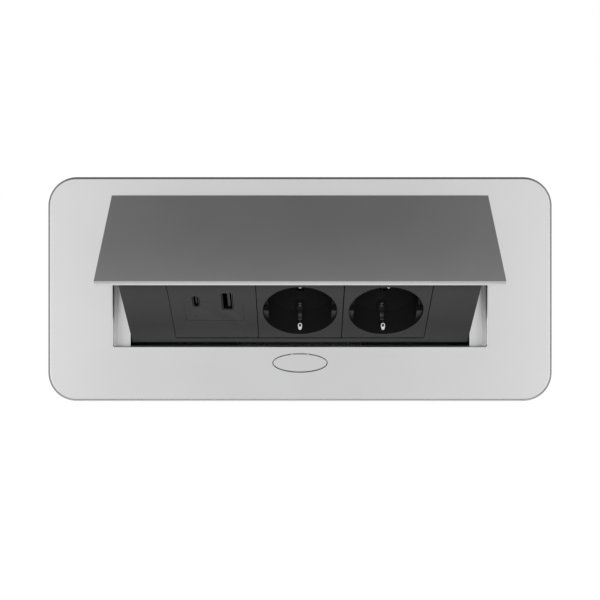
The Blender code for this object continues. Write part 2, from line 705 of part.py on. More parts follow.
def make_hinge():
    """Brackets under the frame, the pins on the hinge axis, the lid spring on the left pin."""
    axis = (PIVOT_Y, PIVOT_Z)
    flange_top = TAB_Z
    flange_low = flange_top - BRACKET_THICKNESS
    for name, side in sides("left", "right"):
        inner, outer = side * BRACKET_X, side * (BRACKET_X + BRACKET_THICKNESS)
        corners = [(BRACKET_FRONT_Y, flange_top), (BRACKET_REAR_Y, flange_top)]
        ear = convex_outline(corners + arc(axis, ARM_BOSS_RADIUS, 180, 360, 10))
        plate = prism(ear, min(inner, outer), max(inner, outer), "X")
        bracket = piece(f"hinge_bracket_{name}", plate, SHEET_STEEL, "deck")
        flange = (side * (BRACKET_X - BRACKET_LENGTH), side * (BRACKET_X + BRACKET_THICKNESS / 2))
        join(bracket, box(flange, (BRACKET_FRONT_Y, BRACKET_REAR_Y), (flange_low, flange_top)))
        hole = (inner - side * GAP, outer + side * GAP)
        cut(bracket, rod(axis, HINGE_PIN_RADIUS + PIN_GAP, min(hole), max(hole), "X"))
        for x in (BRACKET_SCREW_X, BRACKET_SCREW_X - BRACKET_PEG_SPACING):
            spot = (side * x, BRACKET_SCREW_Y)
            cut(bracket, rod(spot, SCREW_RADIUS + GAP, flange_low - GAP, flange_top + GAP, "Z", 12))
        seat = (side * BRACKET_SCREW_X, BRACKET_SCREW_Y, flange_low - GAP)
        small_screw(f"bracket_screw_{name}", seat, "Z", 1, "deck")
        head = outer + side * GAP
        profile = [
            (HINGE_PIN_TIP_RADIUS, head - side * (HINGE_PIN_LENGTH + HINGE_PIN_POINT)),
            (HINGE_PIN_RADIUS, head - side * HINGE_PIN_LENGTH),
            (HINGE_PIN_RADIUS, head),
            (HINGE_PIN_HEAD_RADIUS, head),
            (HINGE_PIN_HEAD_RADIUS, head + side * HINGE_PIN_HEAD),
        ]
        piece(f"hinge_pin_{name}", lathe(profile, axis, "X"), BRIGHT_STEEL, "deck")
    make_lid_spring(axis)


def make_lid_spring(axis):
    """A torsion spring: one leg stands against the bracket's flange, the other hooks into the left arm."""
    inboard = -(BRACKET_X - BRACKET_LENGTH + 2 * SPRING_WIRE)
    at_arm = -(ARM_X - GAP - SPRING_WIRE)
    arm_turn = math.pi + ARM_FALL - OPEN_ANGLE
    hook = (
        axis[0] + LID_SPRING_ARM * math.cos(arm_turn),
        axis[1] + LID_SPRING_ARM * math.sin(arm_turn),
    )
    leave = arm_turn + math.acos(LID_SPRING_RADIUS / LID_SPRING_ARM)
    sweep = 2 * math.pi * (LID_SPRING_TURNS + 1) - leave
    steps = 9 * (LID_SPRING_TURNS + 1)
    points = [(inboard, axis[0] + LID_SPRING_RADIUS, TAB_Z - GAP)]
    for i in range(steps + 1):
        t = -sweep * i / steps
        x = inboard + (at_arm - inboard) * i / steps
        y = axis[0] + LID_SPRING_RADIUS * math.cos(t)
        points.append((x, y, axis[1] + LID_SPRING_RADIUS * math.sin(t)))
    points.append((at_arm, *hook))
    points.append((-(ARM_X + ARM_THICKNESS - SPRING_WIRE), *hook))
    wire_piece("lid_spring", points, SPRING_WIRE, "deck")


def make_arms():
    """Two arms from the hinge pins to the ends of the socket box, and the damper that turns with one."""
    axis = (PIVOT_Y, PIVOT_Z)

    def on_arm(distance):
        turn = math.pi + ARM_FALL
        return axis[0] + distance * math.cos(turn), axis[1] + distance * math.sin(turn)

    reaches, heights = (ARM_PAD_NEAR, ARM_PAD_FAR), (ARM_PAD_LOW, ARM_PAD_HIGH)
    pad = [(-reach, height) for reach in reaches for height in heights]
    rounds = arc(axis, ARM_BOSS_RADIUS, 0, 340, 17)
    for dy, dz in pad:
        rounds += arc((axis[0] + dy, axis[1] + dz), ARM_PAD_RADIUS, 0, 330, 11)
    outline = convex_outline(rounds)
    screw_spot = arm_screw_place()
    for name, side in sides("left", "right"):
        near, far = sorted((side * ARM_X, side * (ARM_X + ARM_THICKNESS)))
        arm = piece(f"arm_{name}", prism(outline, near, far, "X"), SHEET_STEEL, "lid")
        cut(arm, rod(axis, HINGE_PIN_RADIUS + PIN_GAP, near - GAP, far + GAP, "X"))
        cut(arm, rod(screw_spot, SCREW_RADIUS + GAP, near - GAP, far + GAP, "X", 12))
        seat = (side * (ARM_X + ARM_THICKNESS + GAP), *screw_spot)
        small_screw(f"arm_screw_{name}", seat, "X", -side, "lid")
        if side < 0:
            hole = rod(on_arm(LID_SPRING_ARM), SPRING_WIRE + GAP, near - GAP, far + GAP, "X", 12)
        else:
            hole = rod(on_arm(DAMPER_LUG), DAMPER_PEG + GAP, near - GAP, far + GAP, "X", 12)
        cut(arm, hole)
    high = ARM_X - GAP
    rounds = arc(axis, DAMPER_RADIUS - GAP / 3, 0, 345, 23)
    lug = convex_outline(rounds + arc(on_arm(DAMPER_LUG), 2 * DAMPER_PEG, 0, 330, 11))
    barrel = rod(axis, DAMPER_RADIUS, high - DAMPER_LENGTH, high, "X")
    damper = piece("damper", barrel, BLACK_PLASTIC, "lid")
    join(damper, prism(lug, high - ARM_THICKNESS, high - GAP, "X"))
    peg_end = ARM_X + ARM_THICKNESS - GAP
    join(damper, rod(on_arm(DAMPER_LUG), DAMPER_PEG, high - ARM_THICKNESS / 2, peg_end, "X", 12))
    cut(damper, rod(axis, HINGE_PIN_RADIUS + PIN_GAP, high - DAMPER_LENGTH - GAP, high + GAP, "X"))


def arm_screw_place():
    return PIVOT_Y - (ARM_PAD_NEAR + ARM_PAD_FAR) / 2, PIVOT_Z + (ARM_PAD_HIGH + ARM_PAD_LOW) / 2


def make_lid():
    """The flap: a plate with a rear edge bevelled to swing past the frame, and four screw bosses."""
    half = OPENING_LENGTH / 2 - LID_GAP
    rear_low = PIVOT_Y - math.sqrt(LID_SWING ** 2 - (PIVOT_Z + LID_THICKNESS) ** 2)
    rear_top = PIVOT_Y - math.sqrt(LID_SWING ** 2 - PIVOT_Z ** 2)
    outline = [
        (LID_FRONT_Y, -LID_THICKNESS),
        (rear_low, -LID_THICKNESS),
        (rear_top, 0.0),
        (LID_FRONT_Y, 0.0),
    ]
    lid = piece("lid", prism(outline, -half, half, "X"), SILVER, "lid")
    for i, (x, y) in enumerate(lid_screw_places()):
        join(lid, rod((x, y), LID_BOSS_RADIUS, BOX_TOP - SHELL_WALL, -LID_THICKNESS / 2, "Z", 18))
        cut(lid, rod((x, y), SCREW_RADIUS + GAP, BOX_TOP - SHELL_WALL - GAP, -LID_THICKNESS / 2, "Z", 12))
        seat = (x, y, BOX_TOP - SHELL_WALL - GAP)
        reach = SHELL_WALL + LID_THICKNESS / 2
        small_screw(f"lid_screw_{i + 1}", seat, "Z", 1, "lid", LID_SCREW_HEAD_RADIUS, reach)


def lid_screw_places():
    return [(x, y) for x in (-LID_SCREW_X, LID_SCREW_X) for y in (LID_SCREW_FRONT_Y, LID_SCREW_REAR_Y)]


def make_bezel():
    """The socket box's face: a wide plate with a rolled lower edge, short side walls and snap hooks."""
    half = BOX_LENGTH / 2
    rear = FACE_Y + BEZEL_DEPTH
    roll = (FACE_Y + LIP_RADIUS, BOX_BOTTOM + LIP_RADIUS)
    outline = [(rear, BOX_TOP), (FACE_Y, BOX_TOP)]
    outline += arc(roll, LIP_RADIUS, 180, 270, 8) + [(rear, BOX_BOTTOM)]
    bezel = piece("bezel", prism(outline, -half, half, "X"), BLACK_PLASTIC, "lid")
    for side in (-1, 1):
        wider = (side * (half - BEZEL_WALL / 2), side * (half + BEZEL_STEP))
        join(bezel, box(wider, (FACE_Y, rear), (BOX_TOP - BEZEL_STEP_DEPTH, BOX_TOP)))
    inside = half - BEZEL_WALL
    back = (FACE_Y + BEZEL_THICKNESS, rear + GAP)
    cut(bezel, box((-inside, inside), back, (BOX_BOTTOM - GAP, BOX_TOP + GAP)))
    reach = 1.5 * MODULE + GAP / 2
    window = (MODULE_BOTTOM - GAP / 2, MODULE_TOP + GAP / 2)
    cut(bezel, box((-reach, reach), (FACE_Y - GAP, FACE_Y + 2 * BEZEL_THICKNESS), window))
    for side in (-1, 1):
        for z in HOOK_Z:
            join(bezel, prism(hook_outline(side), z - HOOK_WIDTH / 2, z + HOOK_WIDTH / 2))


def hook_outline(side):
    """A snap hook seen along Z: a tongue inside the rear shell's end wall, its barb in the window there."""
    wall = SHELL_X - SHELL_WALL - GAP
    root = FACE_Y + BEZEL_THICKNESS / 2
    barb = SHELL_FRONT_Y + HOOK_BARB_Y
    outline = [
        (wall - HOOK_THICKNESS, root),
        (wall, root),
        (wall, barb),
        (wall + SHELL_WALL, barb),
        (wall, barb + HOOK_BARB_LENGTH),
        (wall - HOOK_THICKNESS, barb + HOOK_BARB_LENGTH),
    ]
    return [(side * x, y) for x, y in outline]


def shell_outline(inset):
    """The rear shell in side view: its curved back clears the frame as the box swings about the hinge."""
    swing = SHELL_SWING + inset
    top = BOX_TOP - inset
    start = 180 - math.degrees(math.asin((top - PIVOT_Z) / swing))
    low = BOX_BOTTOM + SHELL_CORNER
    radius = SHELL_CORNER - inset
    corner = (PIVOT_Y - swing - radius, low)
    back = arc((PIVOT_Y, PIVOT_Z), swing, start, 180, 10)
    return back + arc(corner, radius, 0, -90, 6)


def make_rear_shell():
    """The moulded back of the socket box, open to the bezel, screwed up to the lid and to both arms."""
    front = SHELL_FRONT_Y
    outer = shell_outline(0.0) + [(front, BOX_BOTTOM), (front, BOX_TOP)]
    shell = piece("rear_shell", prism(outer, -SHELL_X, SHELL_X, "X"), BLACK_PLASTIC, "lid")
    ahead = front - SHELL_WALL
    inner = shell_outline(SHELL_WALL) + [(ahead, BOX_BOTTOM + SHELL_WALL), (ahead, BOX_TOP - SHELL_WALL)]
    cut(shell, prism(inner, -SHELL_X + SHELL_WALL, SHELL_X - SHELL_WALL, "X"))
    for x, y in lid_screw_places():
        cut(shell, rod((x, y), LID_BOSS_RADIUS + GAP, BOX_TOP - 2 * SHELL_WALL, BOX_TOP + GAP, "Z", 18))
    for side in (-1, 1):
        wall = sorted((side * (SHELL_X - 2 * SHELL_WALL), side * (SHELL_X + GAP)))
        cut(shell, rod(arm_screw_place(), SCREW_RADIUS + GAP, *wall, "X", 12))
        stud = (side * STRIKER_STUD_X, STRIKER_FRONT_Y + STRIKER_STUD_SETBACK)
        hole = rod(stud, STRIKER_STUD_RADIUS + GAP, BOX_BOTTOM - GAP, BOX_BOTTOM + 2 * SHELL_WALL, "Z", 12)
        cut(shell, hole)
        barb = SHELL_FRONT_Y + HOOK_BARB_Y
        for z in HOOK_Z:
            window = (z - HOOK_WIDTH / 2 - GAP, z + HOOK_WIDTH / 2 + GAP)
            cut(shell, box(wall, (barb - GAP, barb + HOOK_BARB_LENGTH + GAP), window))


def recess_outline():
    """The round recess with its four guide ears, about its own centre."""
    face = RECESS_RADIUS - EAR_REACH
    edge = math.degrees(math.acos(face / RECESS_RADIUS))
    notch = math.degrees(math.asin(EAR_NOTCH / RECESS_RADIUS))
    outline = []
    for turn, way in ((0, 1), (180, -1)):
        outline.append((way * face, -way * EAR_NOTCH))
        outline += arc((0.0, 0.0), RECESS_RADIUS, turn - notch, turn + notch, 4)
        outline.append((way * face, way * EAR_NOTCH))
        outline += arc((0.0, 0.0), RECESS_RADIUS, turn + edge, turn + 180 - edge, 18)
    return outline


def make_inserts():
    """Two earthed socket inserts: a square plate with a round cup, its ears, pin holes and clips."""
    for i, x in enumerate(SOCKET_X):
        insert = piece(f"schuko_insert_{i + 1}", insert_plate(x), BLACK_PLASTIC, "lid")
        centre = (x, MODULE_Z)
        cup = RECESS_RADIUS + RECESS_WALL
        join(insert, rod(centre, cup, FACE_Y + RIM_CHAMFER, FLOOR_Y + RECESS_FLOOR, "Y", 40))
        join_clips(insert, x)
        eared = recess_outline()

        def ring(y, radius=None):
            scales = [radius / math.hypot(a, b) if radius else 1.0 for a, b in eared]
            return [(x + k * a, y, MODULE_Z + k * b) for k, (a, b) in zip(scales, eared)]

        rings = [
            ring(FACE_Y - RIM_CHAMFER, RECESS_RADIUS + 2 * RIM_CHAMFER),
            ring(FACE_Y + RIM_CHAMFER, RECESS_RADIUS),
            ring(FACE_Y + EAR_DROP, RECESS_RADIUS),
            ring(FACE_Y + EAR_DROP + EAR_SLOPE),
            ring(FLOOR_Y),
        ]
        cut(insert, loft(rings))
        through = (FLOOR_Y - GAP, FLOOR_Y + 2 * RECESS_FLOOR)
        for side in (-1, 1):
            pin = (x + side * PLUG_PIN_SPACING / 2, MODULE_Z)
            cut(insert, rod(pin, PLUG_PIN_HOLE, *through, "Y", 16))
            slot = MODULE_Z + side * (RECESS_RADIUS - STRAP_PATH[-1][1])
            width = STRAP_WIDTH / 2 + GAP
            thick = STRAP_THICKNESS / 2 + GAP
            cut(insert, box((x - width, x + width), through, (slot - thick, slot + thick)))
        cut(insert, rod(centre, SCREW_RADIUS + GAP, *through, "Y", 16))
        make_earth_strap(i, x)
        place = (x, FLOOR_Y - GAP, MODULE_Z)
        reach = RECESS_FLOOR + BLOCK_DEPTH / 2
        small_screw(f"centre_screw_{i + 1}", place, "Y", 1, "lid", CENTRE_SCREW_HEAD_RADIUS, reach)


def insert_plate(x):
    half = MODULE / 2 - GAP / 2
    deep = (FACE_Y, FACE_Y + BEZEL_THICKNESS)
    return box((x - half, x + half), deep, (MODULE_Z - half, MODULE_Z + half))


def join_clips(insert, x):
    """Clips at the plate's top and bottom that catch behind the bezel."""
    half = MODULE / 2 - GAP / 2
    back = FACE_Y + BEZEL_THICKNESS
    for side in (-1, 1):
        outline = [
            (back - BEZEL_THICKNESS / 2, MODULE_Z + side * (half - CLIP_THICKNESS)),
            (back - BEZEL_THICKNESS / 2, MODULE_Z + side * (half - GAP)),
            (back + GAP, MODULE_Z + side * (half - GAP)),
            (back + GAP, MODULE_Z + side * (half + CLIP_CATCH)),
            (back + CLIP_LENGTH, MODULE_Z + side * (half - CLIP_THICKNESS / 2)),
            (back + CLIP_LENGTH, MODULE_Z + side * (half - CLIP_THICKNESS)),
        ]
        join(insert, prism(outline, x - CLIP_WIDTH / 2, x + CLIP_WIDTH / 2, "X"))


def make_earth_strap(index, x):
    """A bent strip: sprung contacts at the top and bottom of the recess, and a bridge behind its floor."""
    end = RECESS_RADIUS - STRAP_PATH[-1][1] + STRAP_THICKNESS
    half = STRAP_BRIDGE_WIDTH / 2
    deep = (BRIDGE_Y, BRIDGE_Y + STRAP_THICKNESS)
    bridge = box((x - half, x + half), deep, (MODULE_Z - end, MODULE_Z + end))
    strap = piece(f"earth_strap_{index + 1}", bridge, BRIGHT_STEEL, "lid")
    for side in (-1, 1):
        path = [(FACE_Y + depth, MODULE_Z + side * (RECESS_RADIUS - inset)) for depth, inset in STRAP_PATH]
        path.append((BRIDGE_Y + STRAP_THICKNESS / 2, path[-1][1]))
        join(strap, prism(ribbon(path, STRAP_THICKNESS), x - STRAP_WIDTH / 2, x + STRAP_WIDTH / 2, "X"))
    hole = rod((x, MODULE_Z), SCREW_RADIUS + GAP, BRIDGE_Y - GAP, BRIDGE_Y + STRAP_THICKNESS + GAP, "Y", 16)
    cut(strap, hole)


def make_contacts():
    """The block behind the recesses, with sprung sleeves for the plug pins on a live and a neutral rail."""
    pins = [(x - PLUG_PIN_SPACING / 2, x + PLUG_PIN_SPACING / 2) for x in SOCKET_X]
    rear = BLOCK_Y + BLOCK_DEPTH
    margin = 3 * SLEEVE_RADIUS
    across = (pins[0][0] - margin, pins[-1][1] + margin)
    tall = (MODULE_Z - BLOCK_HEIGHT / 2, MODULE_Z + BLOCK_HEIGHT / 2)
    block = piece("contact_block", box(across, (BLOCK_Y, rear), tall), GREY_PLASTIC, "lid")
    for x in SOCKET_X:
        cut(block, rod((x, MODULE_Z), SCREW_RADIUS + GAP, BLOCK_Y - GAP, rear - SHELL_WALL, "Y", 12))
    for x in [x for pair in pins for x in pair]:
        cut(block, rod((x, MODULE_Z), SLEEVE_RADIUS + GAP, BLOCK_Y - GAP, rear + GAP, "Y", 14))
    for name, which, side in (("live_rail", 0, 1), ("neutral_rail", 1, -1)):
        spots = [pair[which] for pair in pins]
        strip = MODULE_Z + side * RAIL_OFFSET
        back = (RAIL_Y, RAIL_Y + RAIL_THICKNESS)
        low, high = spots[0] - SLEEVE_RADIUS, spots[-1] + SLEEVE_RADIUS
        bar = box((low, high), back, (strip - RAIL_HEIGHT / 2, strip + RAIL_HEIGHT / 2))
        rail = piece(name, bar, BRASS, "lid")
        front = RAIL_Y - SLEEVE_LENGTH
        for x in spots:
            tab = box((x - SLEEVE_BORE, x + SLEEVE_BORE), back, (MODULE_Z - side * SLEEVE_BORE, strip))
            join(rail, tab, rod((x, MODULE_Z), SLEEVE_RADIUS, front, RAIL_Y + RAIL_THICKNESS / 2, "Y", 14))
            slit = (MODULE_Z - SLEEVE_SLIT / 2, MODULE_Z + SLEEVE_SLIT / 2)
            across = (x - 2 * SLEEVE_RADIUS, x + 2 * SLEEVE_RADIUS)
            cut(rail, rod((x, MODULE_Z), SLEEVE_BORE, front - GAP, RAIL_Y, "Y", 14))
            cut(rail, box(across, (front - GAP, RAIL_Y - SLEEVE_SLIT), slit))


def make_usb_module():
    """The charging insert: a plate with an open case behind it, two upright ports and their board."""
    x = USB_MODULE_X
    module = piece("usb_module", insert_plate(x), BLACK_PLASTIC, "lid")
    half_width, half_height = MODULE / 2 - USB_CASE_MARGIN_X, MODULE / 2 - USB_CASE_MARGIN_Z
    rear = FACE_Y + USB_CASE_DEPTH
    across, tall = (x - half_width, x + half_width), (MODULE_Z - half_height, MODULE_Z + half_height)
    join(module, box(across, (FACE_Y + BEZEL_THICKNESS / 2, rear), tall))
    join_clips(module, x)
    half_width, half_height = half_width - USB_CASE_WALL, half_height - USB_CASE_WALL
    across, tall = (x - half_width, x + half_width), (MODULE_Z - half_height, MODULE_Z + half_height)
    cut(module, box(across, (FACE_Y + BEZEL_THICKNESS, rear + GAP), tall))
    board_y = FACE_Y + USB_SHELL + USB_DEPTH + GAP
    for side_x in (-1, 1):
        for side_z in (-1, 1):
            post = (x + side_x * (half_width - BOARD_POST), MODULE_Z + side_z * (half_height - BOARD_POST))
            join(module, rod(post, BOARD_POST, FACE_Y + BEZEL_THICKNESS / 2, board_y - GAP, "Y", 12))
    make_port(module, "usb_a", USB_A_X, USB_A_MOUTH, USB_A_CORNER, USB_A_TONGUE, USB_A_TONGUE_SHIFT)
    make_port(module, "usb_c", USB_C_X, USB_C_MOUTH, USB_C_CORNER, USB_C_TONGUE, 0.0)
    half_width, half_height = half_width - GAP, half_height - GAP
    across, tall = (x - half_width, x + half_width), (MODULE_Z - half_height, MODULE_Z + half_height)
    board = piece("usb_board", box(across, (board_y, board_y + BOARD_THICKNESS), tall), BOARD_GREEN, "lid")
    behind = board_y + BOARD_THICKNESS / 2
    for (dx, dz), (width, depth, height) in ((COIL_PLACE, COIL_SIZE), (CHIP_PLACE, CHIP_SIZE)):
        across = (x + dx - width / 2, x + dx + width / 2)
        tall = (MODULE_Z + dz - height / 2, MODULE_Z + dz + height / 2)
        join(board, box(across, (behind, behind + depth), tall))
    for dx, dz in CAN_PLACES:
        join(board, rod((x + dx, MODULE_Z + dz), CAN_RADIUS, behind, behind + CAN_LENGTH, "Y", 16))


def make_port(module, name, offset, mouth, corner, thickness, shift):
    """A port's mouth in the plate, its drawn shell, and the tongue that carries its contacts."""
    middle, level = USB_MODULE_X + offset, MODULE_Z + USB_Z
    length, width = mouth

    def outline(grow):
        return rounded_rectangle(length + 2 * grow, width + 2 * grow, corner + grow, (middle, level), 5)

    front = FACE_Y + USB_SHELL
    back = front + USB_DEPTH
    cut(module, prism(outline(GAP), FACE_Y - GAP, FACE_Y + 2 * BEZEL_THICKNESS, "Y"))
    shell = piece(f"{name}_shell", prism(outline(0.0), front, back, "Y"), BRIGHT_STEEL, "lid")
    cut(shell, prism(outline(-USB_SHELL), front - GAP, back - USB_SHELL, "Y"))
    floor = back - USB_SHELL
    root = prism(outline(-USB_SHELL - USB_TONGUE_GAP), floor - USB_TONGUE_ROOT, floor - USB_TONGUE_GAP, "Y")
    finish = GREY_PLASTIC if shift else BLACK_PLASTIC
    tongue = piece(f"{name}_tongue", root, finish, "lid")
    across = (middle + shift - thickness / 2, middle + shift + thickness / 2)
    reach = width / 2 - USB_TONGUE_MARGIN
    along = (front + USB_TONGUE_SETBACK, back - USB_TONGUE_ROOT)
    join(tongue, box(across, along, (level - reach, level + reach)))


def make_latch():
    """The latch low in the tub: a sliding bolt in its guide, and the striker under the socket box."""
    depth = (STRIKER_FRONT_Y, STRIKER_FRONT_Y + STRIKER_DEPTH)
    plate = box((-STRIKER_X, STRIKER_X), depth, (STRIKER_TOP - STRIKER_THICKNESS, STRIKER_TOP))
    striker = piece("striker", plate, BRIGHT_STEEL, "lid")
    for side in (-1, 1):
        stud = (side * STRIKER_STUD_X, STRIKER_FRONT_Y + STRIKER_STUD_SETBACK)
        head = BOX_BOTTOM + SHELL_WALL + GAP
        join(striker, rod(stud, STRIKER_STUD_RADIUS, STRIKER_TOP - STRIKER_THICKNESS / 2, head, "Z", 12))
    tip = STRIKER_FRONT_Y + SLIDER_BITE
    outline = [
        (SLIDER_FRONT_Y, SLIDER_BOTTOM),
        (tip, SLIDER_BOTTOM),
        (tip, SLIDER_TOP - SLIDER_NOSE),
        (tip - SLIDER_NOSE, SLIDER_TOP),
        (SLIDER_FRONT_Y, SLIDER_TOP),
    ]
    plate = prism(outline, -SLIDER_WIDTH / 2, SLIDER_WIDTH / 2, "X")
    slider = piece("latch_slider", plate, BRIGHT_STEEL, "latch")
    slant = rod_slant() - GAP * math.sqrt(2)
    top, low = SLIDER_TOP + GAP, SLIDER_BOTTOM - GAP
    back = BUTTON_Y - ROD_FRONT + ROD_DEPTH + GAP + BUTTON_TRAVEL
    window = [(slant - top, top), (slant - low, low), (back, low), (back, top)]
    cut(slider, prism(window, -ROD_WIDTH / 2 - GAP, ROD_WIDTH / 2 + GAP, "X"))
    middle = (SLIDER_BOTTOM + SLIDER_TOP) / 2
    peg = LATCH_SPRING_RADIUS - FINE_WIRE - GAP
    join(slider, rod((0.0, middle), peg, SLIDER_FRONT_Y - LATCH_PEG, SLIDER_FRONT_Y + LATCH_PEG, "Y", 12))
    coil("latch_spring", (0.0, middle), "Y", LATCH_SPRING_RADIUS, -TUB_INNER_Y, SLIDER_FRONT_Y, "deck")
    half = SLIDER_WIDTH / 2 + GAP
    channel = (SLIDER_BOTTOM - GAP, SLIDER_TOP + GAP)
    along = (GUIDE_FRONT_Y, GUIDE_REAR_Y)
    past = (GUIDE_FRONT_Y - GAP, GUIDE_REAR_Y + GAP)
    outer = half + GUIDE_WALL
    body = box((-outer, outer), along, (FLOOR_TOP + GAP, channel[1] + GUIDE_LIP))
    guide = piece("latch_guide", body, BLACK_PLASTIC, "deck")
    cut(guide, box((-half, half), past, channel))
    cut(guide, box((-GUIDE_SLOT / 2, GUIDE_SLOT / 2), past, (SLIDER_TOP, channel[1] + 2 * GUIDE_LIP)))
    cut(guide, box((-GUIDE_SLOT / 2, GUIDE_SLOT / 2), past, (FLOOR_TOP, channel[0] - GUIDE_LIP)))
    rod_hole = (-ROD_WIDTH / 2 - GAP, ROD_WIDTH / 2 + GAP)
    pocket = (BUTTON_Y - ROD_FRONT, BUTTON_Y - ROD_FRONT + ROD_DEPTH + GAP)
    cut(guide, box(rod_hole, pocket, (channel[0] - GUIDE_LIP / 2, channel[1])))
    for spot in guide_pegs():
        join(guide, rod(spot, GUIDE_PEG_RADIUS, FLOOR_TOP - SHEET + GAP, FLOOR_TOP + GUIDE_LIP, "Z", 12))


def guide_pegs():
    """Two pegs under the latch guide, which stand in holes in the tub's floor."""
    return [(side * (GUIDE_SLOT / 2 + GUIDE_WALL), (GUIDE_FRONT_Y + GUIDE_REAR_Y) / 2) for side in (-1, 1)]


def rod_slant():
    """The wedge under the push rod is the line on which Y and Z add up to this."""
    return BUTTON_Y - ROD_FRONT + SLIDER_TOP - ROD_TIP + ROD_WEDGE


def make_button():
    """The oval push button, its push rod, the tray that holds both, and the two springs under it."""
    def oval(grow, z):
        size = (BUTTON_LENGTH + 2 * grow, BUTTON_WIDTH + 2 * grow)
        return [(*p, z) for p in ellipse(*size, (0.0, BUTTON_Y))]

    flange_top = BUTTON_LOW + BUTTON_FLANGE
    cap = [
        oval(BUTTON_LIP, BUTTON_LOW),
        oval(BUTTON_LIP, flange_top),
        oval(0.0, flange_top),
        oval(0.0, -BUTTON_FLUSH - BUTTON_EDGE),
        oval(-BUTTON_EDGE, -BUTTON_FLUSH),
    ]
    button = piece("push_button", loft(cap), SILVER, "button")
    for side in (-1, 1):
        bulge = math.sqrt(1 - (2 * BUTTON_NIB_X / BUTTON_LENGTH) ** 2) * BUTTON_WIDTH / 2
        edge = BUTTON_Y + bulge + BUTTON_NIB_REACH
        middle = side * BUTTON_NIB_X
        across = (middle - BUTTON_NIB_WIDTH / 2, middle + BUTTON_NIB_WIDTH / 2)
        tall = (flange_top - BUTTON_FLANGE / 2, -BUTTON_FLUSH - BUTTON_EDGE / 2)
        join(button, box(across, (BUTTON_Y, edge), tall))
        post = (side * BUTTON_SPRING_X, BUTTON_Y)
        peg = BUTTON_SPRING_RADIUS - FINE_WIRE - GAP
        join(button, rod(post, peg, BUTTON_LOW - BUTTON_FLANGE, BUTTON_LOW + BUTTON_FLANGE / 2, "Z", 12))
    across = (-ROD_WIDTH / 2 - GAP, ROD_WIDTH / 2 + GAP)
    deep = (BUTTON_Y - ROD_FRONT - GAP, BUTTON_Y - ROD_FRONT + ROD_DEPTH + GAP)
    wall = HOUSING_WALL
    tall = (BUTTON_LOW - ROD_SOCKET_DEPTH, BUTTON_LOW + BUTTON_FLANGE / 2)
    socket = box((across[0] - wall, across[1] + wall), (deep[0] - wall, deep[1] + wall), tall)
    join(button, socket)
    cut(button, box(across, deep, (BUTTON_LOW - 2 * ROD_SOCKET_DEPTH, BUTTON_LOW)))
    slant = rod_slant()
    front, back = BUTTON_Y - ROD_FRONT, BUTTON_Y - ROD_FRONT + ROD_DEPTH
    outline = [
        (front, BUTTON_LOW - GAP),
        (front, slant - front),
        (slant - (SLIDER_TOP - ROD_TIP), SLIDER_TOP - ROD_TIP),
        (back, SLIDER_TOP - ROD_TIP),
        (back, BUTTON_LOW - GAP),
    ]
    piece("push_rod", prism(outline, -ROD_WIDTH / 2, ROD_WIDTH / 2, "X"), GREY_PLASTIC, "button")
    half = HOUSING_LENGTH / 2
    rear = -COLLAR_WIDTH / 2 - GAP
    top = BUTTON_LOW - BUTTON_TRAVEL - GAP
    tray = box((-half, half), (rear - HOUSING_DEPTH, rear), (HOUSING_FLOOR - wall, top))
    housing = piece("button_housing", tray, BLACK_PLASTIC, "deck")
    hollow = (rear - HOUSING_DEPTH + wall, rear - wall)
    cut(housing, box((-half + wall, half - wall), hollow, (HOUSING_FLOOR, top + GAP)))
    cut(housing, box(across, deep, (HOUSING_FLOOR - 2 * wall, HOUSING_FLOOR + GAP)))
    for name, side in sides("left", "right"):
        ear = (side * (half - wall / 2), side * (HOUSING_SCREW_X + HOUSING_EAR))
        reach = HOUSING_EAR + GAP
        join(housing, box(ear, (BUTTON_Y - reach, BUTTON_Y + reach), (TAB_Z - BRACKET_THICKNESS, TAB_Z)))
        spot = (side * HOUSING_SCREW_X, BUTTON_Y)
        cut(housing, rod(spot, SCREW_RADIUS + GAP, TAB_Z - 2 * BRACKET_THICKNESS, TAB_Z + GAP, "Z", 12))
        small_screw(f"housing_screw_{name}", (*spot, TAB_Z - BRACKET_THICKNESS - GAP), "Z", 1, "deck")
        centre = (side * BUTTON_SPRING_X, BUTTON_Y)
        coil(f"button_spring_{name}", centre, "Z", BUTTON_SPRING_RADIUS, HOUSING_FLOOR, BUTTON_LOW, "deck")


def make_buffers():
    """Rubber caps pushed onto two posts of the frame, where the striker meets them as the lid opens."""
    for name, side in sides("stop_buffer_left", "stop_buffer_right"):
        post = (side * BUFFER_X, BUFFER_Y)
        cap = rod(post, BUFFER_RADIUS, BUFFER_LOW, -BUFFER_TOP_DEPTH, "Z", 20)
        buffer = piece(name, cap, RUBBER, "deck")
        bore = (-BUFFER_POST_DEPTH - GAP, -BUFFER_TOP_DEPTH + GAP)
        cut(buffer, rod(post, BUFFER_POST_RADIUS + GAP, *bore, "Z", 16))


def empty(name, place, parent=None, tilt=0.0):
    """An empty that stands on a joint's axis and carries the pieces of one moving body."""
    carrier = bpy.data.objects.new(name, None)
    bpy.context.scene.collection.objects.link(carrier)
    carrier.location = place
    carrier.rotation_euler.x = tilt
    carrier.parent = parent
    return carrier


make_frame()
make_tub()
make_gland()
make_clamps()
make_hinge()
make_arms()
make_lid()
make_bezel()
make_rear_shell()
make_inserts()
make_contacts()
make_usb_module()
make_latch()
make_button()
make_buffers()

